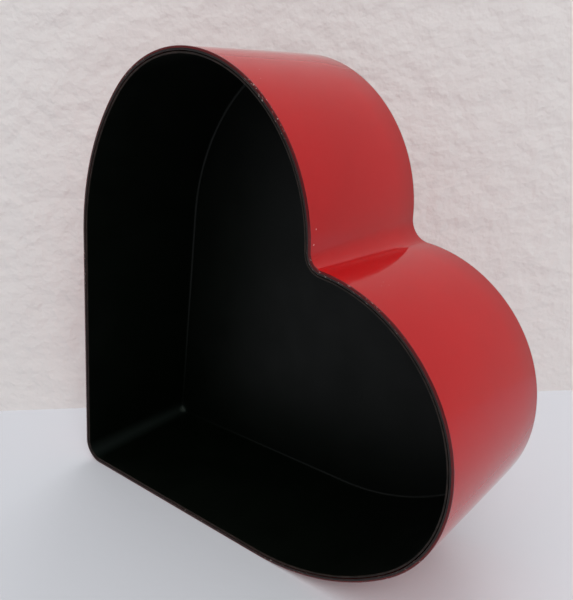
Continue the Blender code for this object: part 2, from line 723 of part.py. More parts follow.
# ---------------------------------------------------------------- the movement's turning parts
def make_winding(shop):
    """The arbor from the bridge out through the back, and the butterfly key on its outer end."""
    place = shop.on_plate(BARREL_U, BARREL_V)
    low, high = BACK_LEVEL - 5.0, BRIDGE_LOW + BRIDGE_THICKNESS + 0.3
    rod("winding_arbor", WIND_ARBOR_RADIUS, low, high, place, "steel", shop.parts)
    sleeve = rod("winding_key", KEY_SLEEVE_RADIUS, *KEY_SLEEVE, place, "brass", shop.parts, tip=0.3)
    sideways = Place(shop.movement, (BARREL_U, BARREL_V, 0), (math.pi / 2, 0, 0))
    blades = []
    for side in (-1, 1):
        root, middle = (side * 1.0, BACK_LEVEL - 7.2), (side * 6.9, BACK_LEVEL - 8.3)
        wing = strap_outline(root, KEY_HOLE, middle, KEY_WING, 6)
        hole = circle_points((side * 7.3, middle[1]), KEY_HOLE, 14)
        half = KEY_BLADE / 2
        blades.append(plate("blade", [wing, hole], -half, half, sideways, None, shop.parts))
    unite(sleeve, blades)
    shop.cut(sleeve, "key_socket", WIND_ARBOR_RADIUS + RUNNING_GAP, low - 0.2, BACK_LEVEL, place)


def crown_ring(place, shop):
    """The barrel's toothed rim, teeth towards the mouth. A gap faces the cylinder's pinion, along +u."""
    inner, outer, low = CROWN_INNER, CROWN_OUTER, CROWN_BODY_LOW
    pitch_level = CYLINDER_W - DRIVE_PITCH_RADIUS
    root, top = pitch_level - 0.64, pitch_level + 0.38
    step = 2 * math.pi / CROWN_TEETH
    flank = [(-0.26, root), (-0.09, top), (0.09, top), (0.26, root)]
    bm = bmesh.new()
    sections = []
    for tooth in range(CROWN_TEETH):
        for share, level in flank:
            angle = (tooth + 0.5 + share) * step
            corners = [(inner, low), (outer, low), (outer, level), (inner, level)]
            cosine, sine = math.cos(angle), math.sin(angle)
            section = [bm.verts.new(Vector((r * cosine, r * sine, h)) * MM) for r, h in corners]
            sections.append(section)
    for section, following in zip(sections, sections[1:] + sections[:1]):
        for i in range(len(section)):
            j = (i + 1) % len(section)
            bm.faces.new((section[i], section[j], following[j], following[i]))
    return put("crown", mesh_from(bm, "crown"), place, None, shop.parts)


def make_barrel(shop):
    """The drum that the mainspring drives, with a toothed rim, and its lid."""
    place = shop.on_plate(BARREL_U, BARREL_V)
    inner, low, floor = BARREL_RADIUS - BARREL_WALL, BARREL_LOW, BARREL_LOW + BARREL_WALL
    profile = [(inner, BARREL_TOP), (BARREL_RADIUS, BARREL_TOP), (BARREL_RADIUS, low), (BARREL_BORE, low)]
    profile += [(BARREL_BORE, floor), (inner, floor)]
    barrel = turned("spring_barrel", profile, place, "brass", shop.parts, 32, closed=True)
    unite(barrel, [crown_ring(place, shop)])
    lid = BARREL_TOP + FIT_GAP
    ring("barrel_lid", BARREL_RADIUS, BARREL_BORE, lid, lid + LID_THICKNESS, place, "steel", shop.parts, 32)
    make_mainspring(shop, place)


def spiral(radius, growth, count, steps):
    """Points of a flat spiral that starts at the radius and grows over all its steps."""
    points = []
    for step in range(count + 1):
        angle = 2 * math.pi * step / steps
        reach = radius + growth * step / count
        points.append((reach * math.cos(angle), reach * math.sin(angle)))
    return points


def make_mainspring(shop, place):
    """A flat spiral strip that lies in the barrel, clear of the arbor and of the wall."""
    steps = 16
    count = MAINSPRING_TURNS * steps
    inner, outer = MAINSPRING_RADII
    near = spiral(inner, outer - inner, count, steps)
    far = spiral(inner + MAINSPRING_STRIP, outer - inner, count, steps)
    low, high = BARREL_LOW + BARREL_WALL + 0.4, BARREL_TOP - 0.4
    plate("mainspring", [near + far[::-1]], low, high, place, "spring_steel", shop.parts)


def make_cylinder(shop):
    """The pinned cylinder, with the barrel's pinion at one end and the great gear at the other."""
    low, high = CYLINDER_U
    place = shop.along_u(CYLINDER_V, CYLINDER_W)
    bore, chamfer = ARBOR_RADIUS + RUNNING_GAP, 0.3
    profile = [(bore, high), (CYLINDER_RADIUS - chamfer, high), (CYLINDER_RADIUS, high - chamfer)]
    profile += [(CYLINDER_RADIUS, low + chamfer), (CYLINDER_RADIUS - chamfer, low), (bore, low)]
    cylinder = turned("pinned_cylinder", profile, place, "brass", shop.parts, 32, closed=True)
    unite(cylinder, [tune_pins(place, shop)])
    rod("cylinder_arbor", ARBOR_RADIUS, 21.6, 46.7, place, "steel", shop.parts, tip=0.2)
    hole = circle_points((0, 0), ARBOR_RADIUS + 0.12, 20)
    pinion = gear_outline(DRIVE_TEETH, DRIVE_PITCH_RADIUS + 0.42, DRIVE_PITCH_RADIUS - 0.62)
    plate("drive_pinion", [pinion, hole], 21.8, 23.7, place, "brass", shop.parts)
    pitch_radius = FINE_MODULE * GREAT_TEETH / 2
    to_lay = math.atan2(LAY_V - CYLINDER_V, CYLINDER_W - LAY_W)
    gear = gear_outline(GREAT_TEETH, pitch_radius + 0.24, pitch_radius - 0.34, start=to_lay)
    plate("great_gear", [gear, hole], 43.1, 44.3, place, "brass", shop.parts)


def tune_pins(place, shop):
    """Short pins on each note's track. The tune is a rolling arpeggio that fits every track."""
    root, tip, sunk = 0.24, 0.12, 0.6
    height = PIN_TIP + sunk
    distance = CYLINDER_RADIUS + PIN_TIP - height / 2
    outward = Matrix.Rotation(math.pi / 2, 4, "Y")
    bm = bmesh.new()
    for beat in range(TUNE_BEATS):
        for voice, stride in ((0, 5), (1, 7)):
            note = (beat * stride + voice * NOTES // 2) % NOTES
            turn = Matrix.Rotation(2 * math.pi * (beat + 0.5 * voice) / TUNE_BEATS, 4, "Z")
            spot = Matrix.Translation(Vector((distance, 0, note_u(note))) * MM)
            bmesh.ops.create_cone(
                bm,
                cap_ends=True,
                segments=4,
                radius1=root * MM,
                radius2=tip * MM,
                depth=height * MM,
                matrix=turn @ spot @ outward,
            )
    mesh = bpy.data.meshes.new("pins")
    bm.to_mesh(mesh)
    bm.free()
    return put("pins", mesh, place, None, shop.parts)


def make_lay(shop):
    """The intermediate arbor: a pinion on the great gear and a wheel on the worm."""
    place = shop.along_u(LAY_V, LAY_W)
    rod("lay_arbor", LAY_RADIUS, 42.9, 51.7, place, "steel", shop.parts, 16, tip=0.1)
    hole = circle_points((0, 0), LAY_RADIUS + 0.12, 12)
    pitch_radius = FINE_MODULE * SMALL_TEETH / 2
    to_cylinder = math.atan2(CYLINDER_V - LAY_V, LAY_W - CYLINDER_W)
    start = to_cylinder + math.pi / SMALL_TEETH
    pinion = gear_outline(SMALL_TEETH, pitch_radius + 0.24, pitch_radius - 0.33, start=start)
    plate("lay_pinion", [pinion, hole], 43.0, 44.5, place, "brass", shop.parts)
    tip, root = WHEEL_PITCH_RADIUS + 0.26, WHEEL_PITCH_RADIUS - 0.38
    wheel = gear_outline(WHEEL_TEETH, tip, root, start=-math.pi / 2)
    plate("worm_wheel", [wheel, hole], WORM_U - 0.7, WORM_U + 0.7, place, "nylon", shop.parts)


def make_governor(shop):
    """The worm shaft that the wheel drives, and the fan that brakes it in the air."""
    place = shop.on_plate(WORM_U, WORM_V)
    low, high = WORM_PIVOTS
    thin, thick = WORM_PIVOT_RADIUS, 0.9
    profile = [(0, high), (thin, high), (thin, 11.6), (thick, 11.4), (thick, 5.0), (thin, 4.7), (thin, low)]
    worm = turned("worm_shaft", profile + [(0, low)], place, "steel", shop.parts, 12)
    unite(worm, [worm_thread(place, shop)])
    low, high = FAN_LEVELS
    hub = ring("air_fan", 1.2, WORM_PIVOT_HOLE, low, high, place, "brass", shop.parts, 16)
    half = FAN_BLADE / 2
    for side in (-1, 1):
        start, end = sorted((side * 0.9, side * FAN_RADIUS))
        corners = (start, -half, low + 0.4), (end, half, high - 0.2)
        unite(hub, [block("blade", *corners, place, None, shop.parts)])


def worm_thread(place, shop):
    """A right-handed thread: one small trapezium swept round the shaft, with a groove at the wheel."""
    steps = 10
    first = LAY_W + WORM_PITCH / 4 - 2 * WORM_PITCH
    root, crest = 0.75, WORM_PITCH_RADIUS + 0.28
    section = [(root, -0.25), (crest, -0.09), (crest, 0.09), (root, 0.25)]
    bm = bmesh.new()
    corners = [bm.verts.new((radius * MM, 0, (first + height) * MM)) for radius, height in section]
    face = bm.faces.new(corners)
    bmesh.ops.spin(
        bm,
        geom=[face, *face.edges, *face.verts],
        cent=(0, 0, 0),
        axis=(0, 0, 1),
        dvec=(0, 0, WORM_PITCH / steps * MM),
        angle=2 * math.pi * WORM_TURNS,
        steps=int(WORM_TURNS * steps),
        use_duplicate=False,
    )
    return put("thread", mesh_from(bm, "thread"), place, None, shop.parts)


def make_stop(shop):
    """A lever whose pad swings up to the fan's blades. At rest it stands open, and the music plays."""
    place = shop.on_plate(STOP_U, STOP_V)
    low, high = STOP_LEVEL, STOP_LEVEL + STOP_THICKNESS
    pad = 0.8
    reach = WORM_U - FAN_RADIUS - STOP_CLEAR_OF_FAN - STOP_U - pad
    end = (reach * math.cos(STOP_OPEN_ANGLE), reach * math.sin(STOP_OPEN_ANGLE))
    arm = strap_outline((0, 0), 1.5, end, pad)
    lever = plate("stop_lever", [arm], low, high, place, "steel", shop.parts)
    tail = strap_outline((0, 0), 1.4, (-9.0, -0.8), 0.9)
    unite(lever, [plate("tail", [tail], low, high, place, None, shop.parts)])
    shop.cut(lever, "stop_bore", TAP_RADIUS, low - 1, high + 1, place, 16)
    inner, outer, pillar_top = 1.0, 1.6, low - FIT_GAP
    profile = [(inner, pillar_top), (outer, pillar_top), (outer, SEAT), (inner, SEAT)]
    turned("stop_pillar", profile, place, "brass", shop.parts, 16, closed=True)
    spot = shop.on_plate(STOP_U, STOP_V, high + FIT_GAP)
    screws(shop, "stop_screw", [spot], screw_profile(1.6, 0.9, 0.8, 12.6), 0.45)


def main():
    clear_scene()
    shop = Shop()
    make_case(shop)
    make_movement_screws(shop)
    make_bedplate(shop)
    make_comb(shop)
    make_posts(shop)
    make_bridge(shop)
    make_clutch_spring(shop)
    make_winding(shop)
    make_barrel(shop)
    make_cylinder(shop)
    make_lay(shop)
    make_governor(shop)
    make_stop(shop)
    for piece in shop.parts.objects:
        if piece.type == "MESH":
            shade(piece)


main()
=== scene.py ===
import json
import math
import random

import bmesh
import bpy
from mathutils import Matrix, Vector


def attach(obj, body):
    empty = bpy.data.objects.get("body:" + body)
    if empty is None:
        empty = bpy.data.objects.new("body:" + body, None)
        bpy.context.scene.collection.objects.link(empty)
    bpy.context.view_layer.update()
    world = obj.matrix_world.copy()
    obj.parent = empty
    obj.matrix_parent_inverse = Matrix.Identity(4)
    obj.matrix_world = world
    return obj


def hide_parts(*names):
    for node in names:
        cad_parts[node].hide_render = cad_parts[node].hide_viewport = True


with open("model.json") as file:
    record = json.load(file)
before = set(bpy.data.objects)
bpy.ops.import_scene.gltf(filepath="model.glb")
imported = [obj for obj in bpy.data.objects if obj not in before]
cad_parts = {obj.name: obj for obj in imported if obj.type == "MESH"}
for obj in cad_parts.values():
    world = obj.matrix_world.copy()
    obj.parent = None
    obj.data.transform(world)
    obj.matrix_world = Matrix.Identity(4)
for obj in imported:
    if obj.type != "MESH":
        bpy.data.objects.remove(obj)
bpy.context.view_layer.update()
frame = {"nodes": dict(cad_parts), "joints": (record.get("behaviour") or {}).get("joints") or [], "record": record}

MM = 0.001

# ---- sizes of the design, in millimetres and radians
# The heart's outline at the mouth: a rounded tip, a straight side, a flank, a lobe and the notch.
HALF_TIP_ANGLE = math.radians(38.8)
TIP_RADIUS = 10.8
SIDE_LENGTH = 137
FLANK_RADIUS = 126.4
FLANK_TURN = math.radians(38)
LOBE_RADIUS = 70.2
NOTCH_RADIUS = 5.9
SIDE_STEPS = 34

# The case and its linings. Depth is measured from the mouth.
CASE_DEPTH = 78
DRAFT = 3.8 / CASE_DEPTH
SHELL_WALL = 1.8
SHELL_BACK = 3.5
BACK_EDGE_RADIUS = 2.2
BACK_EDGE_STEPS = 8
FIT_GAP = 0.3
LINING_WALL = 0.9
FLOOR_LINING = 1.2
FLOOR_DEPTH = CASE_DEPTH - SHELL_BACK - FIT_GAP - FLOOR_LINING
RIM_ROUND = 0.5
RIM_INNER_ROUND = 0.3
COVE_RADIUS = 1.3
# The lining's rounded lip: distance from its outer side, and depth.
LIP_CURVE = ((0.10, 0.32), (0.25, 0.22), (0.45, 0.2), (0.68, 0.23), (0.82, 0.33), (LINING_WALL, 0.5))
LINING_RING_DEPTHS = (4, 12, 24, 36, 48, 60, 68)
# Rings of the shell's outer wall: depth, and how much of the rim's dust shows there.
SHELL_RINGS = (
    (0.9, 1), (1.6, 0.9), (3, 0.8), (6, 0.6), (11, 0.3),
    (18, 0.1), (26, 0), (38, 0), (50, 0), (62, 0),
)
# Chipped stretches of the rim: how far along and across the heart, and how worn.
WORN_RIM = ((266, 56, 1), (249, -9, 0.45), (258, -30, 0.35))
# Painted highlights on the lining's fold at the tip, half way in and at its inner end: how far along the heart.
FOLD_ALONG = 11
FOLD_END_ALONG = 13

# The feet.
FOOT_HEIGHT = 14
FOOT_RADIUS = 8
FOOT_TIP_RADIUS = 7
FOOT_RECESS = 3.1
TIP_FOOT_FROM_CORNER = 50
LOBE_FOOT_REACH = 43
LOBE_FOOT_ANGLE = math.radians(66)
FOOT_SCREW_SEAT = 3.3

# The movement's frame: u along the cylinder, v towards the comb, w from the floor to the mouth.
BACK_LEVEL = FLOOR_DEPTH - CASE_DEPTH
PLATE_TOP = 2.8
SEAT = PLATE_TOP + FIT_GAP
MOVEMENT_SCREWS = ((4.8, 33.8), (47.2, 33.8), (27, 4.5))
MOVEMENT_SCREW_HOLE = 1.45
KEY_HOLE_IN_SHELL = 3.3
KEY_HOLE_IN_LINING = 2.6

# The spring barrel, the arbor that winds it, and the bridge over it.
BARREL_U, BARREL_V = 12, 16
BARREL_RADIUS = 9.2
BARREL_WALL = 0.8
BARREL_BORE = 2.2
BARREL_LOW = SEAT + 0.1
BARREL_TOP = 11.6
LID_THICKNESS = 0.7
CROWN_TEETH = 40
CROWN_RADII = (9, 11.9)
CROWN_BODY_LOW = 6.2
DRIVE_PITCH_RADIUS = 2.7
WIND_ARBOR_RADIUS = 1.5
RUNNING_GAP = 0.15
BRIDGE_LOW = 14.7
BRIDGE_TOP = 15.7
PILLARS = ((6.5, 3.2), (17.5, 28.8))
CLUTCH_TURNS = 3
CLUTCH_STEPS = 40
CLUTCH_PITCH = 0.46
CLUTCH_WIRE_RADIUS = 0.19

# The pinned cylinder and the comb.
CYLINDER_V, CYLINDER_W = 16, 10.6
CYLINDER_RADIUS = 6.5
CYLINDER_U = (26.2, 42.6)
ARBOR_RADIUS = 1
ARBOR_U = (21.6, 46.7)
PIN_TIP = 0.7
PIN_SUNK = 0.1
PIN_RADII = (0.15, 0.11)
PIN_STRAY = 0.08
PIN_SEED = 18
NOTES = 18
NOTE_PITCH = 0.88
NOTE_MIDDLE_U = 34.5
PINS_PER_NOTE = 13
COMB_LOW = 10.15
COMB_TOP = 11.05
COMB_SCREWS = ((29.5, 35.6), (39.5, 35.6))
WEIGHTED_NOTES = 11
POST_FOOT = 1
POST_SCREWS = ((27.8, 24.4), (48.6, 24.4), (48.3, 17.2))

# The lay arbor, the governor's worm and fan, and the stop lever.
LAY_V, LAY_W = 8.8, 8.1
LAY_RADIUS = 0.6
LAY_U = (42.9, 51.7)
WORM_PITCH = math.tau * 3.36 / 24
WORM_CREST = 1.58
WORM_ROOT = 0.75
WORM_TURNS = 4.5
WORM_STEPS = 36
WORM_U, WORM_V = 48, LAY_V - 3.36 - 1.3
WORM_PIVOTS = (2, 17.4)
FAN_RADIUS = 4.4
FAN_LEVELS = (12.3, 16.2)
FAN_HUB_RADII = (0.55, 1.2)
FAN_HALF_THICKNESS = 0.2
STOP_U, STOP_V = 39.6, 4.1
STOP_LEVEL = 13.7
STOP_TOP = 14.3

# The butterfly key. Its wings' positions are (distance from the axis, level).
KEY_SLEEVE_RADIUS = 2.7
KEY_SLEEVE = (BACK_LEVEL - 6.6, BACK_LEVEL - 1.5)
KEY_SOCKET_END = BACK_LEVEL - 5.2
KEY_WING_ROOT = (1, BACK_LEVEL - 7.2)
KEY_WING_END = (6.9, BACK_LEVEL - 8.3)
KEY_WING_RADIUS = 4
KEY_WING_HALF_THICKNESS = 0.8
KEY_WING_EDGE = 0.25
KEY_HOLE_REACH = 7.3
KEY_HOLE_RADIUS = 1.9
KEY_VOXEL = 0.15

# Screw kinds: head radius, head height, shank radius, length under the head, slot width.
SCREW_SIZES = {
    "foot_screw": (2.6, 1.8, 0.8, 5.3, 0.7),
    "movement_screw": (2.5, 1.3, 1.1, 7.6, 0.6),
    "comb_screw": (1.9, 1.4, 0.85, 6, 0.5),
    "post_screw": (1.6, 1.1, 0.75, 2.9, 0.45),
    "bridge_screw": (1.6, 1, 0.7, 14, 0.45),
    "stop_screw": (1.6, 0.9, 0.8, 12.6, 0.45),
}

# Vertices closer than this are one, in metres.
STAMPED_WELD = 0.000002
CAD_WELD = 0.000005
SHARP_ANGLE = math.radians(32)
CORNER_STEPS = 4

# ---- colours, as linear red, green and blue
LACQUER = (0.45, 0.0016, 0.0026)
LACQUER_DEEP = (0.40, 0.0010, 0.0018)
LACQUER_RUBBED = (0.43, 0.02, 0.02)
LACQUER_SCRATCHED = (0.26, 0.001, 0.002)
# Painted shade: a darker red on the rim's rounded outer edge.
LACQUER_EDGE_SHADE = (0.085, 0.0016, 0.003)
# Painted shade along the shell's rounded back edge.
LACQUER_BACK_SHADE = (0.10, 0.0015, 0.002)
DUST = (0.62, 0.42, 0.38)
CHIPPED = (0.50, 0.40, 0.36)
BARE_BOARD = (0.004, 0.002, 0.0015)
BARE_BOARD_LIGHT = (0.014, 0.006, 0.0045)
LINING = (0.0004, 0.0012, 0.0004)
LINING_DUSTY = (0.0010, 0.0020, 0.0009)
# Painted highlight along the lining's fold at the tip.
LINING_FOLD_HIGHLIGHT = (0.0052, 0.0074, 0.0064)
# Painted highlight where the tip's fold meets the floor.
LINING_CORNER_HIGHLIGHT = (0.020, 0.026, 0.022)
LINING_LIP = (0.022, 0.014, 0.011)
TABLE = (0.66, 0.665, 0.70)
WALL = (0.74, 0.71, 0.695)
SKY = (0.93, 0.96, 1)

# ---- stage, lights and camera, in metres
FLOOR_HALF = 4
WALL_RUN = Vector((0.7645, 0.6446, 0))
WALL_AWAY = Vector((-0.6446, 0.7645, 0))
WALL_FOOT = Vector((-0.0063, 0.0623, 0))
WALL_SET_BACK = 0.036
WALL_HALF_WIDTH = 0.9
WALL_HALF_HEIGHT = 0.8
# The sky's strength, and the Z of the view's direction between which it rises.
SKY_RISE = (-0.05, 0.75)
SKY_STRENGTH = (0.34, 0.55)
# Area lights: place, target, width, height, power in watts and colour.
LIGHTS = {
    "window": ((1.5, -1.1, 1.5), (0, 0, 0.1), 1.4, 1.2, 26, (1, 0.99, 0.97)),
    "ceiling": ((0.2, -0.3, 2.1), (0, 0, 0), 1.8, 1.8, 10, (1, 1, 1)),
    "rear_fill": ((-0.7, 1.6, 1.2), (0, 0, 0.1), 1.4, 1, 9, (1, 1, 1)),
}
CAMERA_PLACE = (0.276833, -0.224232, 0.230681)
CAMERA_RIGHT = Vector((0.721296, 0.688698, -0.073664))
CAMERA_UP = Vector((-0.230144, 0.338622, 0.912342))
CAMERA_FORWARD = Vector((-0.653274, 0.641115, -0.402747))
CAMERA_LENS = 41.98
CAMERA_SHIFT = (0.0342, 0.0885)


# ---- frames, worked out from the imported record
JOINTS = {item["name"]: item for item in frame["joints"]}
MOUNTS = {item["name"]: item for item in frame["record"]["mounts"]}


def case_matrix():
    """The case's own frame: X along the resting side, Y into the case, origin at the virtual tip."""
    back = Vector(MOUNTS["foot_tip_pad"]["axis"])
    lean = math.atan2(-back.z, back.y)
    flat_start = TIP_RADIUS / math.tan(HALF_TIP_ANGLE)
    middle = Vector((flat_start + SIDE_LENGTH / 2, CASE_DEPTH / 2 / math.cos(lean), 0)) * MM
    rest = Vector(MOUNTS["side_rest"]["pos_m"])
    return Matrix.Translation(rest - middle) @ Matrix.Rotation(-lean, 4, "X")


def movement_matrix():
    """The movement's frame, from the axes of its cylinder and its key."""
    u = Vector(JOINTS["cylinder_turning"]["axis"]).normalized()
    w = Vector(JOINTS["key_winding"]["axis"]).normalized()
    v = w.cross(u).normalized()
    axes = Matrix((u, v, w)).transposed().to_4x4()
    barrel = Vector(JOINTS["key_winding"]["pos_m"])
    origin = Matrix.Translation(Vector((-BARREL_U, -BARREL_V, 0)) * MM)
    return Matrix.Translation(barrel) @ axes @ origin


CASE = case_matrix()
MOVEMENT = movement_matrix()


def case_point(along, across, depth):
    """In the case's frame: along the heart's axis from the tip, across it, and into the case."""
    cosine, sine = math.cos(HALF_TIP_ANGLE), math.sin(HALF_TIP_ANGLE)
    return Vector((along * cosine - across * sine, depth, along * sine + across * cosine)) * MM


def configured(item, **settings):
    """The item, with these values given to its properties."""
    for key, value in settings.items():
        setattr(item, key, value)
    return item


# ---- materials
class Finish:
    """A Principled material, with short names for the nodes that give it procedural detail."""

    def __init__(self, name, colour, roughness, metallic=0, **sockets):
        self.material = bpy.data.materials.new(name)
        self.material.use_nodes = True
        self.tree = self.material.node_tree
        self.shader = self.tree.nodes["Principled BSDF"]
        sockets |= {"Base Color": (*colour, 1), "Roughness": roughness, "Metallic": metallic}
        for socket, value in sockets.items():
            self.put(socket.replace("_", " "), value)
        self.place = self.tree.nodes.new("ShaderNodeTexCoord").outputs["Object"]

    def feed(self, socket, value):
        """Links the socket to another node's output, or sets it to a plain value."""
        if isinstance(value, bpy.types.NodeSocket):
            self.tree.links.new(value, socket)
        else:
            socket.default_value = value

    def put(self, name, value):
        self.feed(self.shader.inputs[name], value)

    def node(self, kind, inputs=None, **settings):
        """A shader node of the kind, with its inputs fed and its settings."""
        node = configured(self.tree.nodes.new("ShaderNode" + kind), **settings)
        for key, value in (inputs or {}).items():
            self.feed(node.inputs[key], value)
        return node

    def stretched(self, scale, turn=(0, 0, 0)):
        """Object coordinates scaled unevenly, for brushing, scratches and flow lines."""
        inputs = {"Vector": self.place, "Scale": scale, "Rotation": turn}
        return self.node("Mapping", inputs).outputs["Vector"]

    def noise(self, scale, detail=3, roughness=0.5, distortion=0, at=None):
        inputs = {"Vector": at or self.place, "Scale": scale, "Detail": detail}
        inputs |= {"Roughness": roughness, "Distortion": distortion}
        return self.node("TexNoise", inputs).outputs["Fac"]

    def cells(self, scale):
        return self.node("TexVoronoi", {"Vector": self.place, "Scale": scale}).outputs["Distance"]

    def between(self, value, low, high, start=0, end=1):
        """The value moved from the range low..high to start..end, and kept inside it."""
        inputs = {"Value": value, "From Min": low, "From Max": high, "To Min": start, "To Max": end}
        return self.node("MapRange", inputs).outputs["Result"]

    def sums(self, operation, first, second):
        """One step of arithmetic on two values."""
        return self.node("Math", {0: first, 1: second}, operation=operation).outputs[0]

    def times(self, first, second):
        return self.sums("MULTIPLY", first, second)

    def mix(self, share, first, second):
        """A colour mix; the colours are triples or sockets."""
        inputs = {0: share, 6: first, 7: second}
        for index in (6, 7):
            if not isinstance(inputs[index], bpy.types.NodeSocket):
                inputs[index] = (*inputs[index], 1)
        return self.node("Mix", inputs, data_type="RGBA").outputs[2]

    def near(self, spot, inner, outer, at=None):
        """1 within the inner distance of the spot and 0 beyond the outer one, in metres."""
        ends = {0: at or self.place, 1: spot}
        distance = self.node("VectorMath", ends, operation="DISTANCE").outputs["Value"]
        return self.between(distance, inner, outer, 1, 0)

    def attribute(self, name):
        """A value that the mesh carries at its vertices."""
        return self.node("Attribute", attribute_name=name).outputs["Fac"]

    def bump(self, *layers):
        """Layers of (height, strength, distance in metres), stacked into the normal."""
        normal = None
        for height, strength, distance in layers:
            inputs = {"Height": height, "Strength": strength, "Distance": distance}
            if normal:
                inputs["Normal"] = normal
            normal = self.node("Bump", inputs).outputs["Normal"]
        self.put("Normal", normal)


def scratches(finish, scale, turn):
    """Fine straight scratches: noise pulled out along one direction, with only its peaks kept."""
    lines = finish.noise(1, 2, at=finish.stretched(scale, turn))
    patches = finish.noise(24, 2)
    return finish.times(finish.between(lines, 0.76, 0.81), finish.between(patches, 0.5, 0.6))


def red_lacquer():
    """Glossy red over dark board, dark and chipped along the rim, with painted shade on the rim's outer round and
    along the back's edge.
    """
    finish = Finish("red_gloss_lacquer", LACQUER, 0.07, Specular_IOR_Level=0.31)
    names = ("near_rim", "on_edge", "rim_face", "back_edge")
    near_rim, on_edge, rim_face, back_edge = [finish.attribute(name) for name in names]

    cloud = finish.noise(14, 4, 0.55, 0.4)
    colour = finish.mix(finish.between(cloud, 0.35, 0.7), LACQUER, LACQUER_DEEP)
    rubbed = finish.between(finish.noise(70, 6, 0.65, 0.8), 0.58, 0.72)
    colour = finish.mix(finish.times(rubbed, 0.10), colour, LACQUER_RUBBED)
    hairs = scratches(finish, (60, 1300, 1300), (0.2, 0.5, 0.1))
    colour = finish.mix(finish.times(hairs, 0.12), colour, LACQUER_SCRATCHED)

    dust = finish.between(finish.cells(380), 0.13, 0.08)
    rare = finish.between(finish.noise(45, 2), 0.60, 0.64)
    speck = finish.times(finish.times(dust, rare), near_rim)
    colour = finish.mix(speck, colour, DUST)

    ragged = finish.between(finish.noise(330, 4, 0.65), 0.40, 0.62)
    board = finish.mix(ragged, BARE_BOARD, BARE_BOARD_LIGHT)
    # Painted shade: a darker red on the rim's rounded outer edge, with a ragged border.
    painted_edge_shade = finish.sums("ADD", on_edge, finish.times(ragged, 0.35))
    colour = finish.mix(finish.between(painted_edge_shade, 0.45, 0.75), colour, LACQUER_EDGE_SHADE)
    colour = finish.mix(rim_face, colour, board)

    worn = finish.between(finish.noise(700, 4, 0.7), 0.60, 0.64)
    stretch = finish.between(finish.noise(15, 1), 0.56, 0.64, 0, 0.5)
    for along, across, share in WORN_RIM:
        close = finish.near(CASE @ case_point(along, across, 0), 0.006, 0.020)
        stretch = finish.sums("MAXIMUM", stretch, finish.times(close, share))
    at_rim = finish.sums("MAXIMUM", on_edge, rim_face)
    chipped = finish.times(finish.times(worn, stretch), at_rim)
    # Painted shade along the rounded back edge.
    colour = finish.mix(finish.times(back_edge, 0.75), colour, LACQUER_BACK_SHADE)
    finish.put("Base Color", finish.mix(chipped, colour, CHIPPED))

    smudge = finish.between(finish.noise(26, 6, 0.65, 1.2), 0.46, 0.70, 0.035, 0.11)
    dull = finish.between(finish.sums("MAXIMUM", chipped, rim_face), 0, 1, 0, 0.4)
    finish.put("Roughness", finish.sums("ADD", smudge, dull))
    finish.bump(
        (finish.noise(30, 2, 0.4), 0.05, 0.0012),
        (finish.noise(650, 2, 0.5), 0.012, 0.0002),
        (chipped, 0.4, 0.00012),
        (ragged, 0.05, 0.0001),
    )
    return finish.material


def black_lining():
    """Matt black board, a little dusty, with painted highlights along the tip's fold and at its corner with the
    floor, and a browner lip at the rim.
    """
    finish = Finish("matt_black_lining", LINING, 0.5, Specular_IOR_Level=0.17)
    dusty = finish.between(finish.noise(34, 6, 0.7, 0.5), 0.45, 0.75)
    colour = finish.mix(dusty, LINING, LINING_DUSTY)
    # Painted highlight: a lighter streak along the tip's fold.
    fold = CASE @ case_point(FOLD_ALONG, 0, CASE_DEPTH / 2)
    painted_fold_highlight = finish.near((fold.x, 0, fold.z), 0, 0.0072, finish.stretched((1, 0, 1)))
    colour = finish.mix(painted_fold_highlight, colour, LINING_FOLD_HIGHLIGHT)
    # Painted highlight: a light spot where the fold meets the floor.
    painted_corner_highlight = finish.near(CASE @ case_point(FOLD_END_ALONG, 0, FLOOR_DEPTH - 1), 0.001, 0.003)
    colour = finish.mix(painted_corner_highlight, colour, LINING_CORNER_HIGHLIGHT)
    worn = finish.between(finish.noise(300, 4, 0.6), 0.40, 0.62, 0.35, 1)
    lip = finish.times(finish.attribute("on_edge"), worn)
    finish.put("Base Color", finish.mix(lip, colour, LINING_LIP))
    finish.put("Roughness", finish.between(finish.noise(50, 5, 0.6), 0.3, 0.7, 0.42, 0.54))
    grain = finish.noise(1500, 3, 0.6)
    finish.bump((grain, 0.06, 0.0002), (finish.noise(60, 2), 0.05, 0.0006))
    return finish.material


def metal(name, colour, tarnish, roughness=0.28):
    """Plated or turned metal: fine tool lines and a thin, cloudy tarnish."""
    finish = Finish(name, colour, roughness, 1)
    cloud = finish.between(finish.noise(180, 5, 0.65, 0.4), 0.42, 0.72)
    finish.put("Base Color", finish.mix(finish.times(cloud, 0.6), colour, tarnish))
    lines = finish.noise(1, 3, at=finish.stretched((900, 60, 900)))
    rough = finish.between(cloud, 0, 1, roughness - 0.06, roughness + 0.14)
    finish.put("Roughness", finish.sums("ADD", rough, finish.between(lines, 0.3, 0.7, -0.04, 0.05)))
    finish.bump((lines, 0.10, 0.0001), (finish.noise(1400, 2), 0.05, 0.00006))
    return finish.material


def cast_zinc():
    """Satin cast metal, with darker spots and a coarse grain."""
    finish = Finish("cast_zinc_satin", (0.46, 0.46, 0.47), 0.42, 1)
    spots = finish.between(finish.noise(420, 5, 0.7), 0.5, 0.72)
    finish.put("Base Color", finish.mix(spots, (0.50, 0.50, 0.51), (0.30, 0.30, 0.31)))
    finish.put("Roughness", finish.between(finish.noise(260, 4), 0.3, 0.7, 0.34, 0.52))
    finish.bump((finish.noise(1100, 4, 0.7), 0.25, 0.00012))
    return finish.material


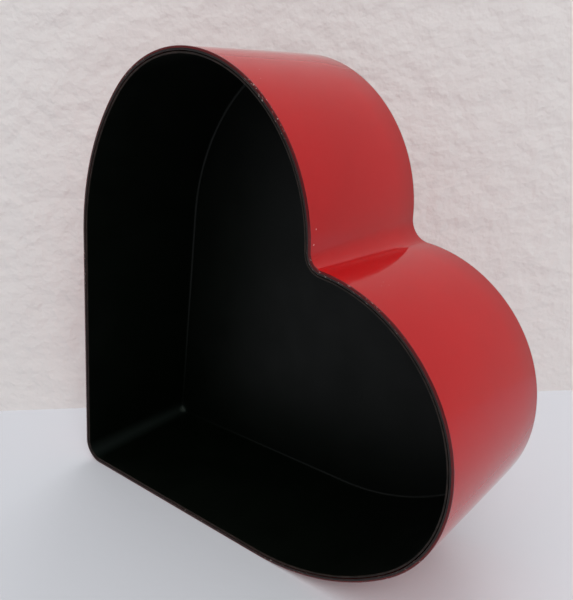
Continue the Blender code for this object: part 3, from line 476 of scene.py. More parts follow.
def moulded(name, colour, roughness, wear, specular=0.5):
    """Rubber or nylon: a fine moulded grain and faint dusty clouds."""
    finish = Finish(name, colour, roughness, Specular_IOR_Level=specular)
    cloud = finish.between(finish.noise(150, 5, 0.6), 0.45, 0.7)
    finish.put("Base Color", finish.mix(cloud, colour, wear))
    uneven = finish.between(finish.noise(320, 3), 0.3, 0.7, roughness - 0.08, roughness + 0.08)
    finish.put("Roughness", uneven)
    finish.bump((finish.noise(1800, 3, 0.6), 0.15, 0.0001))
    return finish.material


FINISHES = {
    "red_lacquer": red_lacquer(),
    "black_lining": black_lining(),
    "rubber": moulded("black_rubber", (0.018, 0.018, 0.018), 0.7, (0.05, 0.048, 0.045), 0.3),
    "brass": metal("turned_brass", (0.76, 0.52, 0.20), (0.42, 0.24, 0.08)),
    "steel": metal("nickel_steel", (0.58, 0.58, 0.59), (0.36, 0.35, 0.33), 0.25),
    "spring_steel": metal("blued_spring", (0.16, 0.20, 0.30), (0.10, 0.10, 0.14), 0.24),
    "cast_zinc": cast_zinc(),
    "nylon": moulded("pale_nylon", (0.78, 0.75, 0.66), 0.42, (0.66, 0.60, 0.48)),
}


# ---- making pieces
def shade(mesh):
    mesh.shade_smooth()
    mesh.set_sharp_from_angle(angle=SHARP_ANGLE)


def linked(name, data):
    """A new object in the scene."""
    item = bpy.data.objects.new(name, data)
    bpy.context.scene.collection.objects.link(item)
    return item


def add(name, mesh, matrix, slot, body, *nodes):
    """A new piece in its place: it rides on the body and stands for the CAD nodes."""
    piece = linked(name, mesh)
    piece.matrix_world = matrix
    mesh.materials.clear()
    mesh.materials.append(FINISHES[slot])
    shade(mesh)
    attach(piece, body)
    if nodes:
        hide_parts(*nodes)
    return piece


def add_solid(name, bm, matrix, slot, body, *nodes):
    """A new piece made of the shape in bm."""
    return add(name, mesh_of(bm, name), matrix, slot, body, *nodes)


def mesh_of(bm, name):
    """The shape in bm as a mesh, with all its faces turned outward."""
    bmesh.ops.recalc_face_normals(bm, faces=bm.faces)
    mesh = bpy.data.meshes.new(name)
    bm.to_mesh(mesh)
    bm.free()
    return mesh


def evaluated_mesh(piece):
    """The piece as it is drawn, as plain mesh."""
    bpy.context.view_layer.update()
    graph = bpy.context.evaluated_depsgraph_get()
    return bpy.data.meshes.new_from_object(piece.evaluated_get(graph))


def mesh_of_curve(name, lines, closed, **settings):
    """Plain mesh of a curve with these settings. Its lines are lists of points in metres."""
    curve = configured(bpy.data.curves.new(name, "CURVE"), **settings)
    for line in lines:
        spline = curve.splines.new("POLY")
        spline.points.add(len(line) - 1)
        for point, position in zip(spline.points, line):
            point.co = (*position, 1)
        spline.use_cyclic_u = closed
    holder = linked(name, curve)
    mesh = evaluated_mesh(holder)
    bpy.data.objects.remove(holder)
    return mesh


def on_plate(u=0, v=0, w=0, turn=Matrix.Identity(4)):
    """A place in the movement's frame."""
    return MOVEMENT @ Matrix.Translation(Vector((u, v, w)) * MM) @ turn


BARREL_PLACE = on_plate(BARREL_U, BARREL_V)


def along_u(v, w):
    """The local Z runs along u and the local X points to the floor, as in the CAD."""
    return on_plate(0, v, w, Matrix.Rotation(math.pi / 2, 4, "Y"))


def rounded(profile, radius, closed=False):
    """The profile with its corners eased by short curves; an open one keeps its ends."""
    points = [Vector(point) for point in profile]
    count = len(points)
    eased = []
    for index, corner in enumerate(points):
        if not closed and index in (0, count - 1):
            eased.append(corner)
            continue
        before, after = points[index - 1], points[(index + 1) % count]
        reach = min(radius, (before - corner).length * 0.45, (after - corner).length * 0.45)
        start = corner + (before - corner).normalized() * reach
        end = corner + (after - corner).normalized() * reach
        for step in range(CORNER_STEPS + 1):
            share = step / CORNER_STEPS
            eased.append(start.lerp(corner, share).lerp(corner.lerp(end, share), share))
    return eased


def turned_bmesh(profile, steps, closed=False):
    """A lathe-turned surface about Z; a profile point on the axis becomes one vertex."""
    bm = bmesh.new()
    rings = []
    for radius, height in profile:
        if radius < 1e-6:
            rings.append([bm.verts.new((0, 0, height * MM))])
            continue
        ring = []
        for step in range(steps):
            angle = math.tau * step / steps
            spot = Vector((radius * math.cos(angle), radius * math.sin(angle), height))
            ring.append(bm.verts.new(spot * MM))
        rings.append(ring)
    pairs = list(zip(rings, rings[1:])) + ([(rings[-1], rings[0])] if closed else [])
    for first, second in pairs:
        for step in range(steps):
            following = (step + 1) % steps
            corners = [first[step % len(first)], first[following % len(first)]]
            corners += [second[following % len(second)], second[step % len(second)]]
            unique = list(dict.fromkeys(corners))
            if len(unique) > 2:
                bm.faces.new(unique)
    return bm


def join_rings(bm, first, second):
    """A band of faces between two rings of as many vertices."""
    for index in range(len(first)):
        following = (index + 1) % len(first)
        bm.faces.new((first[index], first[following], second[following], second[index]))


def lathe(name, profile, matrix, slot, body, *nodes, ease=0.15, closed=False, steps=64):
    """A turned piece. Its profile is pairs of radius and height."""
    bm = turned_bmesh(rounded(profile, ease, closed), steps, closed)
    return add_solid(name, bm, matrix, slot, body, *nodes)


def rod(name, radius, low, high, matrix, slot, body, *nodes, ease=0.2):
    profile = [(0, high), (radius, high), (radius, low), (0, low)]
    return lathe(name, profile, matrix, slot, body, *nodes, ease=ease, steps=48)


def box_bmesh(bm, low, high):
    """Adds a box between two corners to bm."""
    size = (Vector(high) - Vector(low)) * MM
    middle = (Vector(high) + Vector(low)) / 2 * MM
    place = Matrix.Translation(middle) @ Matrix.Diagonal((*size, 1))
    bmesh.ops.create_cube(bm, size=1, matrix=place)


def modify(piece, name, kind, **settings):
    configured(piece.modifiers.new(name, kind), **settings)


def applied(piece):
    """The piece's modifiers made part of its own mesh."""
    mesh = evaluated_mesh(piece)
    piece.modifiers.clear()
    piece.data = mesh
    return mesh


def carve(piece, bm):
    """Cuts the shape in bm, given in the piece's own frame, out of the piece, and shades it again."""
    cutter = linked("cutter", mesh_of(bm, "cutter"))
    cutter.matrix_world = piece.matrix_world
    modify(piece, "Cut", "BOOLEAN", operation="DIFFERENCE", solver="EXACT", object=cutter)
    mesh = applied(piece)
    bpy.data.objects.remove(cutter)
    cut = bmesh.new()
    cut.from_mesh(mesh)
    wide = [face for face in cut.faces if len(face.verts) > 4]
    bmesh.ops.triangulate(cut, faces=wide, quad_method="BEAUTY", ngon_method="BEAUTY")
    cut.to_mesh(mesh)
    cut.free()
    shade(mesh)


def settle(piece):
    """The piece's place moved into its mesh, so that its box is measured along the shared axes."""
    piece.data.transform(piece.matrix_world)
    piece.matrix_world = Matrix.Identity(4)


# ---- the heart
def arc_points(centre, radius, start, end, steps):
    """Points along an arc, its two ends among them."""
    turn = (end - start) / steps
    angles = [start + turn * step for step in range(steps + 1)]
    return [centre + radius * Vector((math.cos(angle), math.sin(angle))) for angle in angles]


def heart_half():
    """The upper half's outline at the mouth: pairs of a point and its outward normal, from the tip."""
    normal_angle = math.pi / 2 + HALF_TIP_ANGLE
    normal = Vector((math.cos(normal_angle), math.sin(normal_angle)))
    side = Vector((math.cos(HALF_TIP_ANGLE), math.sin(HALF_TIP_ANGLE)))
    tip = Vector((TIP_RADIUS / math.sin(HALF_TIP_ANGLE), 0))
    flank = tip + TIP_RADIUS * normal + SIDE_LENGTH * side - FLANK_RADIUS * normal
    lobe_angle = normal_angle - FLANK_TURN
    lobe = flank + (FLANK_RADIUS - LOBE_RADIUS) * Vector((math.cos(lobe_angle), math.sin(lobe_angle)))
    notch = Vector((lobe.x + math.sqrt((LOBE_RADIUS + NOTCH_RADIUS) ** 2 - lobe.y**2), 0))
    lobe_end = math.atan2(-lobe.y, notch.x - lobe.x)
    arcs = [
        (tip, TIP_RADIUS, math.pi, normal_angle, 14, 1),
        (flank, FLANK_RADIUS, normal_angle, lobe_angle, 42, 1),
        (lobe, LOBE_RADIUS, lobe_angle, lobe_end, 84, 1),
        (notch, NOTCH_RADIUS, lobe_end + math.pi, math.pi, 16, -1),
    ]
    outline = []
    for centre, radius, start, end, steps, bulge in arcs:
        points = arc_points(centre, radius, start, end, steps)
        run = [(point, bulge * (point - centre).normalized()) for point in points]
        if centre is flank:
            side_start, (side_end, side_normal) = outline[-1][0], run[0]
            for step in range(1, SIDE_STEPS):
                outline.append((side_start.lerp(side_end, step / SIDE_STEPS), side_normal))
        outline += run if centre is tip or centre is flank else run[1:]
    return outline, lobe


HALF, LOBE_CENTRE = heart_half()


def heart_outline(inset):
    """The whole heart at the mouth, moved inward by the inset."""
    half = [point - normal * inset for point, normal in HALF]
    mirrored = [Vector((point.x, -point.y)) for point in reversed(half[1:-1])]
    return half + mirrored


def heart_loft(name, rings, slot, *nodes, closed=False):
    """One body through heart outlines. Each ring is (inset, depth, {attribute: value})."""
    bm = bmesh.new()
    names = sorted({key for ring in rings for key in ring[2]})
    layers = {key: bm.verts.layers.float.new(key) for key in names}
    loops = []
    for inset, depth, values in rings:
        loop = [bm.verts.new(case_point(point.x, point.y, depth)) for point in heart_outline(inset)]
        for vertex in loop:
            for key, value in values.items():
                vertex[layers[key]] = value
        loops.append(loop)
    pairs = list(zip(loops, loops[1:]))
    if closed:
        pairs.append((loops[-1], loops[0]))
    else:
        bm.faces.new(loops[0])
        bm.faces.new(loops[-1])
    for first, second in pairs:
        join_rings(bm, first, second)
    return add_solid(name, bm, CASE, slot, "case", *nodes)


def quarter_circle(radius, steps):
    """Points round a quarter circle: how far past its first side and how far short of its second."""
    angles = [math.pi / 2 * step / steps for step in range(steps + 1)]
    return [(radius * (1 - math.cos(angle)), radius * (1 - math.sin(angle))) for angle in angles]


def edge_round(inset, depth, radius, steps, inward, values):
    """Rings round an edge at the mouth, from the flat rim to the side; inward is 1 or -1."""
    turn = quarter_circle(radius, steps)
    return [(inset + inward * across, depth + down, values) for down, across in turn]


def back_matrix(along, across):
    """On the case's back, with the piece's own Z pointing out of the case."""
    spot = case_point(along, across, CASE_DEPTH)
    return CASE @ Matrix.Translation(spot) @ Matrix.Rotation(-math.pi / 2, 4, "X")


LOBE_FOOT_ALONG = LOBE_CENTRE.x + LOBE_FOOT_REACH * math.cos(LOBE_FOOT_ANGLE)
LOBE_FOOT_ACROSS = LOBE_CENTRE.y + LOBE_FOOT_REACH * math.sin(LOBE_FOOT_ANGLE)
FOOT_PLACES = {
    "tip": back_matrix(TIP_FOOT_FROM_CORNER, 0),
    "lower": back_matrix(LOBE_FOOT_ALONG, -LOBE_FOOT_ACROSS),
    "upper": back_matrix(LOBE_FOOT_ALONG, LOBE_FOOT_ACROSS),
}


def drill(piece, spots, segments):
    """Round holes through a piece of the case: each spot is (place, radius, length)."""
    holes = bmesh.new()
    for place, radius, length in spots:
        bmesh.ops.create_cone(
            holes, cap_ends=True, segments=segments, radius1=radius * MM, radius2=radius * MM,
            depth=length * MM, matrix=CASE.inverted() @ place,
        )
    carve(piece, holes)


def make_shell():
    """The lacquered case: inside, rim, wall and back, with painted shade along the back's rounded edge."""
    inner_back = CASE_DEPTH - SHELL_BACK
    rim = {"rim_face": 1, "near_rim": 1}
    edge = {"on_edge": 1, "near_rim": 1}
    rings = [(SHELL_WALL + DRAFT * depth, depth, {}) for depth in (inner_back, 3)]
    rings += reversed(edge_round(SHELL_WALL, 0, RIM_INNER_ROUND, 3, -1, rim))
    rings.append((SHELL_WALL / 2, 0, rim))
    rings += edge_round(0, 0, RIM_ROUND, 6, 1, edge)
    rings += [(DRAFT * depth, depth, {"near_rim": near}) for depth, near in SHELL_RINGS]
    back = DRAFT * CASE_DEPTH
    # Painted shade along the rounded back edge, strongest across its middle.
    for step, (past, short) in enumerate(quarter_circle(BACK_EDGE_RADIUS, BACK_EDGE_STEPS)):
        painted_back_shade = min(1, 0.3 + 0.2 * step) if step < BACK_EDGE_STEPS - 1 else 0.3
        rings.append((back + past, CASE_DEPTH - short, {"back_edge": painted_back_shade}))
    rings.append((back + BACK_EDGE_RADIUS + 1, CASE_DEPTH, {}))
    shell = heart_loft("lacquered_shell", rings, "red_lacquer", "outer_shell")
    spots = [(place, 1, 6) for place in FOOT_PLACES.values()]
    spots.append((on_plate(BARREL_U, BARREL_V, -3), KEY_HOLE_IN_SHELL, 12))
    spots += [(on_plate(u, v, -3), MOVEMENT_SCREW_HOLE, 12) for u, v in MOVEMENT_SCREWS]
    drill(shell, spots, 48)
    settle(shell)


def make_linings():
    """The wall's lining with its rounded lip and the cove at its inner end, and the floor's."""
    outer = SHELL_WALL + FIT_GAP
    inner = outer + LINING_WALL
    low = FLOOR_DEPTH - FIT_GAP
    lip = {"on_edge": 1}
    rings = [(outer + DRAFT * low, low, {}), (outer + 0.02, 0.55, {})]
    rings += [(outer + across, depth, lip) for across, depth in LIP_CURVE]
    rings.append((inner + 0.02, 0.9, {}))
    rings += [(inner + DRAFT * depth, depth, {}) for depth in LINING_RING_DEPTHS]
    for past, short in quarter_circle(COVE_RADIUS, 6):
        rings.append((inner + DRAFT * low + past, low - short, {}))
    settle(heart_loft("wall_liner", rings, "black_lining", "wall_lining", closed=True))

    edge = outer + DRAFT * FLOOR_DEPTH
    under = FLOOR_DEPTH + FLOOR_LINING
    rings = [(edge + 1.6, FLOOR_DEPTH, {}), (edge + 0.4, FLOOR_DEPTH, {})]
    rings += [(edge, FLOOR_DEPTH + 0.3, {}), (edge, under, {}), (edge + 1.6, under, {})]
    floor = heart_loft("floor_liner", rings, "black_lining", "floor_lining")
    spots = [(BARREL_PLACE, KEY_HOLE_IN_LINING, 6)]
    spots += [(on_plate(u, v), MOVEMENT_SCREW_HOLE, 6) for u, v in MOVEMENT_SCREWS]
    drill(floor, spots, 40)
    settle(floor)


def make_feet():
    for label, place in FOOT_PLACES.items():
        profile = [(FOOT_RECESS, FOOT_HEIGHT), (FOOT_TIP_RADIUS, FOOT_HEIGHT), (FOOT_RADIUS, FIT_GAP)]
        profile += [(1.4, FIT_GAP), (1.4, 3), (FOOT_RECESS, 3)]
        lathe(
            f"rubber_foot_{label}", profile, place, "rubber", "case", f"foot_{label}",
            ease=0.8, closed=True,
        )


# ---- screws, key and eyelet
def make_screws(kind, matrices, seat=0, slot="steel"):
    """Slotted screws of one kind. They share a mesh: a domed head, a driving slot and a shank."""
    head_radius, head_height, shank_radius, length, slot_width = SCREW_SIZES[kind]
    top = seat + head_height
    end = seat - length
    profile = [(0, top), (head_radius * 0.55, top - 0.03)]
    profile += [(head_radius * 0.97, top - head_height * 0.28), (head_radius, seat)]
    profile += [(shank_radius, seat), (shank_radius, end + 0.3)]
    profile += [(shank_radius * 0.7, end), (0, end)]
    bm = turned_bmesh(rounded(profile, 0.22), 56)
    pattern = linked(f"{kind}_pattern", mesh_of(bm, f"{kind}_fine"))
    groove = bmesh.new()
    reach = head_radius + 1
    bottom = top - min(0.55, head_height * 0.5)
    box_bmesh(groove, (-reach, -slot_width / 2, bottom), (reach, slot_width / 2, top + 1))
    carve(pattern, groove)
    mesh = pattern.data
    bpy.data.objects.remove(pattern)
    for index, matrix in enumerate(matrices):
        node = kind if len(matrices) == 1 else f"{kind}_{index + 1}"
        spin = Matrix.Rotation(0.7 + 1.9 * index, 4, "Z")
        add(f"slotted_{node}", mesh, matrix @ spin, slot, "case", node)


def make_all_screws():
    make_screws("foot_screw", list(FOOT_PLACES.values()), seat=FOOT_SCREW_SEAT)
    over = Matrix.Rotation(math.pi, 4, "X")
    back_seats = [on_plate(u, v, BACK_LEVEL - FIT_GAP, over) for u, v in MOVEMENT_SCREWS]
    make_screws("movement_screw", back_seats)
    for kind, spots, face, slot in (
        ("comb_screw", COMB_SCREWS, COMB_TOP, "brass"),
        ("post_screw", POST_SCREWS, SEAT + POST_FOOT, "steel"),
        ("bridge_screw", PILLARS, BRIDGE_TOP, "steel"),
        ("stop_screw", [(STOP_U, STOP_V)], STOP_TOP, "steel"),
    ):
        make_screws(kind, [on_plate(u, v, face + FIT_GAP) for u, v in spots], slot=slot)


def circle_outline(x, y, radius, count):
    turns = [math.tau / count * step for step in range(count)]
    return [(x + radius * math.cos(turn), y + radius * math.sin(turn)) for turn in turns]


def strap_outline(first, first_radius, second, second_radius):
    """Outline around two circles of different size."""
    first, second = Vector(first), Vector(second)
    way = second - first
    heading = math.atan2(way.y, way.x)
    lean = math.acos((first_radius - second_radius) / way.length)
    far = arc_points(second, second_radius, heading - lean, heading + lean, 28)
    return far + arc_points(first, first_radius, heading + lean, heading + math.tau - lean, 28)


def stamped_bmesh(bm, outlines, half, edge, matrix):
    """Adds a flat plate with rounded edges to bm. The first outline is its edge, others are holes."""
    lines = [[(x * MM, y * MM, 0) for x, y in outline] for outline in outlines]
    mesh = mesh_of_curve(
        "stamped", lines, True, dimensions="2D", fill_mode="BOTH", extrude=(half - edge) * MM,
        bevel_depth=edge * MM, bevel_resolution=3, offset=-edge * MM,
    )
    mesh.transform(matrix)
    start = len(bm.verts)
    bm.from_mesh(mesh)
    bm.verts.ensure_lookup_table()
    bmesh.ops.remove_doubles(bm, verts=bm.verts[start:], dist=STAMPED_WELD)


def make_key():
    """The butterfly key: a socketed sleeve and two pierced wings, run together as in a casting."""
    low, high = KEY_SLEEVE
    bore = WIND_ARBOR_RADIUS + RUNNING_GAP
    profile = [(bore, high), (KEY_SLEEVE_RADIUS, high), (KEY_SLEEVE_RADIUS, low), (0, low)]
    profile += [(0, KEY_SOCKET_END), (bore, KEY_SOCKET_END)]
    bm = turned_bmesh(profile, 64, closed=True)
    upright = Matrix.Rotation(math.pi / 2, 4, "X")
    for side in (-1, 1):
        root = (side * KEY_WING_ROOT[0], KEY_WING_ROOT[1])
        end = (side * KEY_WING_END[0], KEY_WING_END[1])
        wing = strap_outline(root, KEY_HOLE_RADIUS, end, KEY_WING_RADIUS)
        hole = circle_outline(side * KEY_HOLE_REACH, end[1], KEY_HOLE_RADIUS, 48)
        stamped_bmesh(bm, [wing, hole], KEY_WING_HALF_THICKNESS, KEY_WING_EDGE, upright)
    key = add_solid("butterfly_key", bm, BARREL_PLACE, "brass", "winder", "winding_key")
    modify(key, "Cast", "REMESH", mode="VOXEL", voxel_size=KEY_VOXEL * MM)
    modify(key, "Relax", "SMOOTH", factor=0.5, iterations=6)
    applied(key).shade_smooth()


def make_eyelet():
    """A collar through the back, with a flange outside it."""
    face = BACK_LEVEL - FIT_GAP
    profile = [(2.1, -1.7), (2.9, -1.7), (2.9, face), (5.2, face), (5.2, face - 0.45), (4.7, face - 0.8)]
    profile.append((2.1, face - 0.8))
    lathe("turned_eyelet", profile, BARREL_PLACE, "brass", "case", "key_eyelet", closed=True)


# ---- the movement
def make_winding():
    """The winding arbor with its clutch spring, and the turned pillars."""
    rod(
        "polished_winding_arbor", WIND_ARBOR_RADIUS, BACK_LEVEL - 5, BRIDGE_TOP + 0.3, BARREL_PLACE,
        "steel", "winder", "winding_arbor", ease=0.25,
    )
    high = BRIDGE_LOW - FIT_GAP
    for index, (u, v) in enumerate(PILLARS):
        make_pillar(f"bridge_pillar_{index + 1}", u, v, 0.95, 1.7, high, high - 2, high - 3.1)
    make_pillar("stop_pillar", STOP_U, STOP_V, 1, 1.6, STOP_LEVEL - FIT_GAP, 9.2, 8)
    make_clutch_spring()


def make_pillar(node, u, v, bore, radius, high, groove_high, groove_low):
    """A hollow pillar on the plate, with a groove turned round it."""
    waist = radius - 0.25
    profile = [(bore, high), (radius, high), (radius, groove_high), (waist, groove_high - 0.3)]
    profile += [(waist, groove_low + 0.3), (radius, groove_low), (radius, SEAT), (bore, SEAT)]
    lathe(f"turned_{node}", profile, on_plate(u, v), "brass", "case", node, ease=0.12, closed=True)


def make_clutch_spring():
    """A wire wound on the arbor, with a straight tail."""
    coil = WIND_ARBOR_RADIUS + 0.45
    low = BARREL_TOP + FIT_GAP + LID_THICKNESS + 0.35
    points = []
    for step in range(CLUTCH_TURNS * CLUTCH_STEPS + 1):
        angle = math.tau * step / CLUTCH_STEPS
        level = low + CLUTCH_PITCH * step / CLUTCH_STEPS
        points.append((coil * math.cos(angle), coil * math.sin(angle), level))
    high = low + CLUTCH_PITCH * CLUTCH_TURNS
    points += [(coil + 0.05, 0.5, high), (coil + 0.15, 1, high), (coil + 0.3, 1.6, high)]
    points += [(coil + 0.6, 2.9, high - 0.05), (coil + 0.9, 4.2, high - 0.1)]
    mesh = mesh_of_curve(
        "clutch_wire", [[Vector(point) * MM for point in points]], False, dimensions="3D",
        bevel_depth=CLUTCH_WIRE_RADIUS * MM, bevel_resolution=4, use_fill_caps=True,
    )
    add("wrapped_clutch_spring", mesh, BARREL_PLACE, "spring_steel", "case", "clutch_spring")


def upright_section(bm, corners, angle, rise=0):
    """Vertices in a plane through the axis: pairs of radius and height, turned and raised."""
    turn = Vector((math.cos(angle), math.sin(angle), 0))
    spots = [turn * radius + Vector((0, 0, rise + height)) for radius, height in corners]
    return [bm.verts.new(spot * MM) for spot in spots]


def crown_bmesh(bm):
    """The barrel's toothed rim, with eased teeth; a gap faces the pinion, along +u."""
    inner, outer = CROWN_RADII
    pitch_level = CYLINDER_W - DRIVE_PITCH_RADIUS
    root, top = pitch_level - 0.64, pitch_level + 0.38
    flank = [(-0.27, root), (-0.23, root + 0.12), (-0.13, top - 0.16), (-0.09, top - 0.03), (-0.05, top)]
    tooth_line = flank + [(-share, level) for share, level in reversed(flank)]
    step = math.tau / CROWN_TEETH
    sections = []
    for tooth in range(CROWN_TEETH):
        for share, level in tooth_line:
            angle = (tooth + 0.5 + share) * step
            corners = [(inner, CROWN_BODY_LOW), (outer - 0.2, CROWN_BODY_LOW)]
            corners += [(outer, CROWN_BODY_LOW + 0.2), (outer, level - 0.1), (outer - 0.1, level)]
            corners += [(inner + 0.1, level), (inner, level - 0.1)]
            sections.append(upright_section(bm, corners, angle))
    for section, following in zip(sections, sections[1:] + sections[:1]):
        join_rings(bm, section, following)


def make_barrel():
    """The open barrel with its toothed rim, and the lid over it."""
    inner, floor = BARREL_RADIUS - BARREL_WALL, BARREL_LOW + BARREL_WALL
    groove = BARREL_RADIUS - 0.12
    profile = [(inner, BARREL_TOP), (BARREL_RADIUS, BARREL_TOP), (BARREL_RADIUS, 10.9), (groove, 10.75)]
    profile += [(groove, 10.45), (BARREL_RADIUS, 10.3), (BARREL_RADIUS, BARREL_LOW)]
    profile += [(BARREL_BORE, BARREL_LOW), (BARREL_BORE, floor), (inner, floor)]
    bm = turned_bmesh(rounded(profile, 0.1, closed=True), 128, closed=True)
    crown_bmesh(bm)
    add_solid("toothed_barrel", bm, BARREL_PLACE, "brass", "barrel", "spring_barrel")
    low = BARREL_TOP + FIT_GAP
    high = low + LID_THICKNESS
    profile = [(BARREL_BORE, high), (3.6, high), (3.8, high - 0.15), (4.4, high - 0.15), (4.6, high)]
    profile += [(BARREL_RADIUS, high), (BARREL_RADIUS, low), (BARREL_BORE, low)]
    lathe(
        "turned_barrel_lid", profile, BARREL_PLACE, "steel", "barrel", "barrel_lid",
        ease=0.08, closed=True, steps=128,
    )


def note_u(note):
    """Where a note's tooth and pins stand along the cylinder."""
    return NOTE_MIDDLE_U + (note - (NOTES - 1) / 2) * NOTE_PITCH


def make_cylinder():
    """The cylinder, its pins, set by a seeded draw so that every note sounds, and two arbors."""
    low, high = CYLINDER_U
    bore = ARBOR_RADIUS + RUNNING_GAP
    place = along_u(CYLINDER_V, CYLINDER_W)
    profile = [(bore, high), (CYLINDER_RADIUS, high), (CYLINDER_RADIUS, low), (bore, low)]
    bm = turned_bmesh(rounded(profile, 0.2, closed=True), 144, closed=True)
    draw = random.Random(PIN_SEED)
    height = PIN_TIP + PIN_SUNK
    middle = CYLINDER_RADIUS - PIN_SUNK + height / 2
    outward = Matrix.Rotation(math.pi / 2, 4, "Y")
    for note in range(NOTES):
        for pin in range(PINS_PER_NOTE):
            angle = math.tau * (pin + draw.uniform(0.1, 0.9)) / PINS_PER_NOTE
            spot = Vector((middle, 0, note_u(note) + draw.uniform(-PIN_STRAY, PIN_STRAY))) * MM
            bmesh.ops.create_cone(
                bm, cap_ends=True, segments=8, depth=height * MM,
                radius1=PIN_RADII[0] * MM, radius2=PIN_RADII[1] * MM,
                matrix=Matrix.Rotation(angle, 4, "Z") @ Matrix.Translation(spot) @ outward,
            )
    add_solid("fine_pinned_cylinder", bm, place, "brass", "cylinder", "pinned_cylinder")
    low, high = ARBOR_U
    rod("polished_cylinder_arbor", ARBOR_RADIUS, low, high, place, "steel", "cylinder", "cylinder_arbor")
    low, high = LAY_U
    place = along_u(LAY_V, LAY_W)
    rod("polished_lay_arbor", LAY_RADIUS, low, high, place, "steel", "lay", "lay_arbor", ease=0.12)


def make_comb_weights():
    """Lead weights under the longer teeth, which tune them down."""
    bm = bmesh.new()
    for note in range(WEIGHTED_NOTES):
        share = 1 - note / WEIGHTED_NOTES
        low = (note_u(note) - 0.3, 24.4, COMB_LOW - 0.4 - 1.1 * share)
        box_bmesh(bm, low, (note_u(note) + 0.3, 25.6 + 1.4 * share, COMB_LOW - 0.02))
    bmesh.ops.bevel(bm, geom=bm.edges[:], offset=0.08 * MM, segments=2, affect="EDGES")
    add_solid("comb_weights", bm, on_plate(), "cast_zinc", "case")


def make_worm(place):
    """The governor's shaft with its swept thread."""
    low, high = WORM_PIVOTS
    profile = [(0, high), (0.4, high), (0.4, 11.6), (0.9, 11.4), (0.9, 5), (0.4, 4.7)]
    profile += [(0.4, low), (0, low)]
    bm = turned_bmesh(rounded(profile, 0.1), 40)
    first = LAY_W + WORM_PITCH / 4 - 2 * WORM_PITCH
    thread = [(WORM_ROOT, -0.25), (WORM_CREST - 0.06, -0.10), (WORM_CREST, -0.05)]
    thread += [(WORM_CREST, 0.05), (WORM_CREST - 0.06, 0.10), (WORM_ROOT, 0.25)]
    rings = []
    for step in range(int(WORM_TURNS * WORM_STEPS) + 1):
        angle = math.tau * step / WORM_STEPS
        rings.append(upright_section(bm, thread, angle, first + WORM_PITCH * step / WORM_STEPS))
    for ring, following in zip(rings, rings[1:]):
        join_rings(bm, ring, following)
    bm.faces.new(rings[0])
    bm.faces.new(rings[-1])
    add_solid("threaded_worm_shaft", bm, place, "steel", "governor", "worm_shaft")


def make_fan(place):
    """The two-bladed fan on its hub, above the worm."""
    low, high = FAN_LEVELS
    inner, outer = FAN_HUB_RADII
    profile = [(inner, high), (outer, high), (outer, low), (inner, low)]
    bm = turned_bmesh(rounded(profile, 0.12, closed=True), 40, closed=True)
    for side in (-1, 1):
        root, tip = side * 0.9, side * FAN_RADIUS
        blade = [(root, low + 0.4), (tip - side * 0.6, low + 0.4), (tip, low + 1), (tip, high - 0.8)]
        blade += [(tip - side * 0.6, high - 0.2), (root, high - 0.2)]
        stamped_bmesh(bm, [blade], FAN_HALF_THICKNESS, 0.06, Matrix.Rotation(math.pi / 2, 4, "X"))
    add_solid("bladed_air_fan", bm, place, "brass", "governor", "air_fan")


# CAD nodes that keep their shape: material, and width of the eased edges.
CARRIED_OVER = {
    "bedplate": ("cast_zinc", 0.25),
    "comb": ("steel", 0.05),
    "drive_post": ("steel", 0.12),
    "fly_post": ("steel", 0.12),
    "governor_bracket": ("steel", 0.12),
    "barrel_bridge": ("steel", 0.12),
    "drive_pinion": ("brass", 0.06),
    "great_gear": ("brass", 0.05),
    "lay_pinion": ("brass", 0.04),
    "worm_wheel": ("nylon", 0.05),
    "stop_lever": ("steel", 0.1),
    "mainspring": ("spring_steel", 0.03),
}


def finish_cad_nodes():
    """The kept CAD nodes get a detailed material, and modifiers that ease their edges."""
    for name, (slot, width) in CARRIED_OVER.items():
        node = frame["nodes"][name]
        node.data.materials.clear()
        node.data.materials.append(FINISHES[slot])
        modify(node, "Weld", "WELD", merge_threshold=CAD_WELD)
        modify(
            node, "Ease", "BEVEL", width=width * MM, segments=2,
            limit_method="ANGLE", angle_limit=math.radians(35), use_clamp_overlap=True,
        )
        modify(node, "Normals", "WEIGHTED_NORMAL", keep_sharp=False)


# ---- stage, lights and camera
def plain_finish(name, colour, roughness, lumps):
    """A plain stage surface with faint clouds. Each lump is (scale, strength, height in metres)."""
    finish = Finish(name, colour, roughness, Specular_IOR_Level=0.25)
    cloud = finish.between(finish.noise(2.2, 2), 0.3, 0.7)
    darker = tuple(part * 0.985 for part in colour)
    finish.put("Base Color", finish.mix(cloud, colour, darker))
    finish.bump(*[(finish.noise(scale, 3), strength, height) for scale, strength, height in lumps])
    return finish


def stage_plane(name, centre, half_width, half_height, turn, material):
    mesh = bpy.data.meshes.new(name)
    signs = ((-1, -1), (1, -1), (1, 1), (-1, 1))
    corners = [(half_width * x, half_height * y, 0) for x, y in signs]
    mesh.from_pydata(corners, [], [(0, 1, 2, 3)])
    plane = linked(name, mesh)
    plane.matrix_world = Matrix.Translation(centre) @ turn
    mesh.materials.append(material)
    return plane


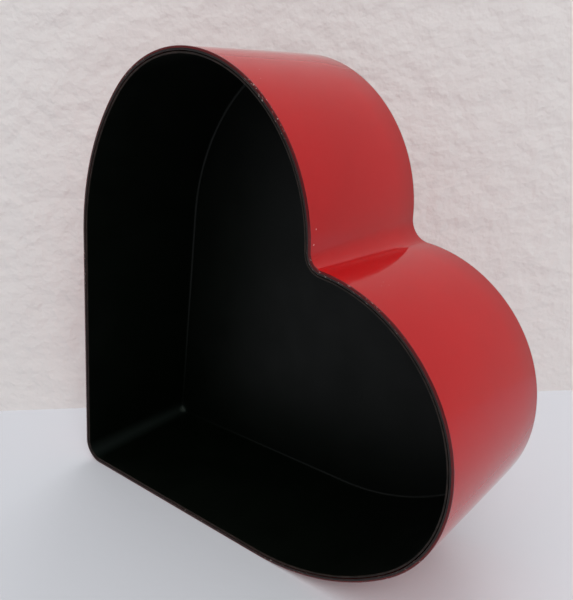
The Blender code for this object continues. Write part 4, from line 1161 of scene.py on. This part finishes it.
def make_stage():
    """A plain floor, and a plaster wall that is clear from behind, for the views from there."""
    floor = plain_finish("pale_table", TABLE, 0.55, [(160, 0.05, 0.002)])
    stage_plane("floor", (0, 0, 0), FLOOR_HALF, FLOOR_HALF, Matrix.Identity(4), floor.material)
    wall = plain_finish("pale_wall", WALL, 0.8, [(42, 0.45, 0.006), (110, 0.55, 0.003)])
    back_side = wall.node("NewGeometry").outputs["Backfacing"]
    clear = wall.node("BsdfTransparent").outputs[0]
    share = wall.node("MixShader", {0: back_side, 1: wall.shader.outputs[0], 2: clear})
    surface = wall.tree.nodes["Material Output"].inputs["Surface"]
    wall.tree.links.new(share.outputs[0], surface)
    middle = WALL_FOOT + WALL_AWAY * WALL_SET_BACK + Vector((0, 0, WALL_HALF_HEIGHT))
    turn = Matrix((WALL_RUN, Vector((0, 0, 1)), -WALL_AWAY)).transposed().to_4x4()
    plane = stage_plane("wall", middle, WALL_HALF_WIDTH, WALL_HALF_HEIGHT, turn, wall.material)
    plane.visible_diffuse = False
    plane.visible_shadow = False


def area_light(name, position, target, width, height, power, colour):
    """A soft light that the gloss does not mirror."""
    lamp = bpy.data.lights.new(name, "AREA")
    configured(lamp, shape="RECTANGLE", size=width, size_y=height, energy=power, color=colour)
    light = linked(name, lamp)
    light.location = position
    way = Vector(target) - Vector(position)
    light.rotation_euler = way.to_track_quat("-Z", "Y").to_euler()
    light.visible_glossy = False


def make_lights():
    """A pale sky that brightens upwards, and the area lights."""
    world = bpy.data.worlds.new("studio")
    bpy.context.scene.world = world
    world.use_nodes = True
    nodes, links = world.node_tree.nodes, world.node_tree.links
    background = nodes["Background"]
    background.inputs["Color"].default_value = (*SKY, 1)
    axes = nodes.new("ShaderNodeSeparateXYZ")
    links.new(nodes.new("ShaderNodeTexCoord").outputs["Generated"], axes.inputs[0])
    rise = nodes.new("ShaderNodeMapRange")
    for socket, value in zip(("From Min", "From Max", "To Min", "To Max"), SKY_RISE + SKY_STRENGTH):
        rise.inputs[socket].default_value = value
    links.new(axes.outputs["Z"], rise.inputs["Value"])
    links.new(rise.outputs["Result"], background.inputs["Strength"])
    for name, facts in LIGHTS.items():
        area_light(name, *facts)


def make_camera():
    lens = bpy.data.cameras.new("camera")
    lens.lens = CAMERA_LENS
    lens.sensor_width = 36
    lens.shift_x, lens.shift_y = CAMERA_SHIFT
    lens.clip_start = 0.01
    camera = linked("camera", lens)
    turn = Matrix((CAMERA_RIGHT, CAMERA_UP, -CAMERA_FORWARD)).transposed().to_4x4()
    camera.matrix_world = Matrix.Translation(CAMERA_PLACE) @ turn
    bpy.context.scene.camera = camera
    bpy.context.scene.view_settings.view_transform = "Standard"


make_shell()
make_linings()
make_feet()
make_all_screws()
make_key()
make_eyelet()
make_winding()
make_barrel()
make_cylinder()
make_comb_weights()
make_worm(on_plate(WORM_U, WORM_V))
make_fan(on_plate(WORM_U, WORM_V))
finish_cad_nodes()
make_stage()
make_lights()
make_camera()
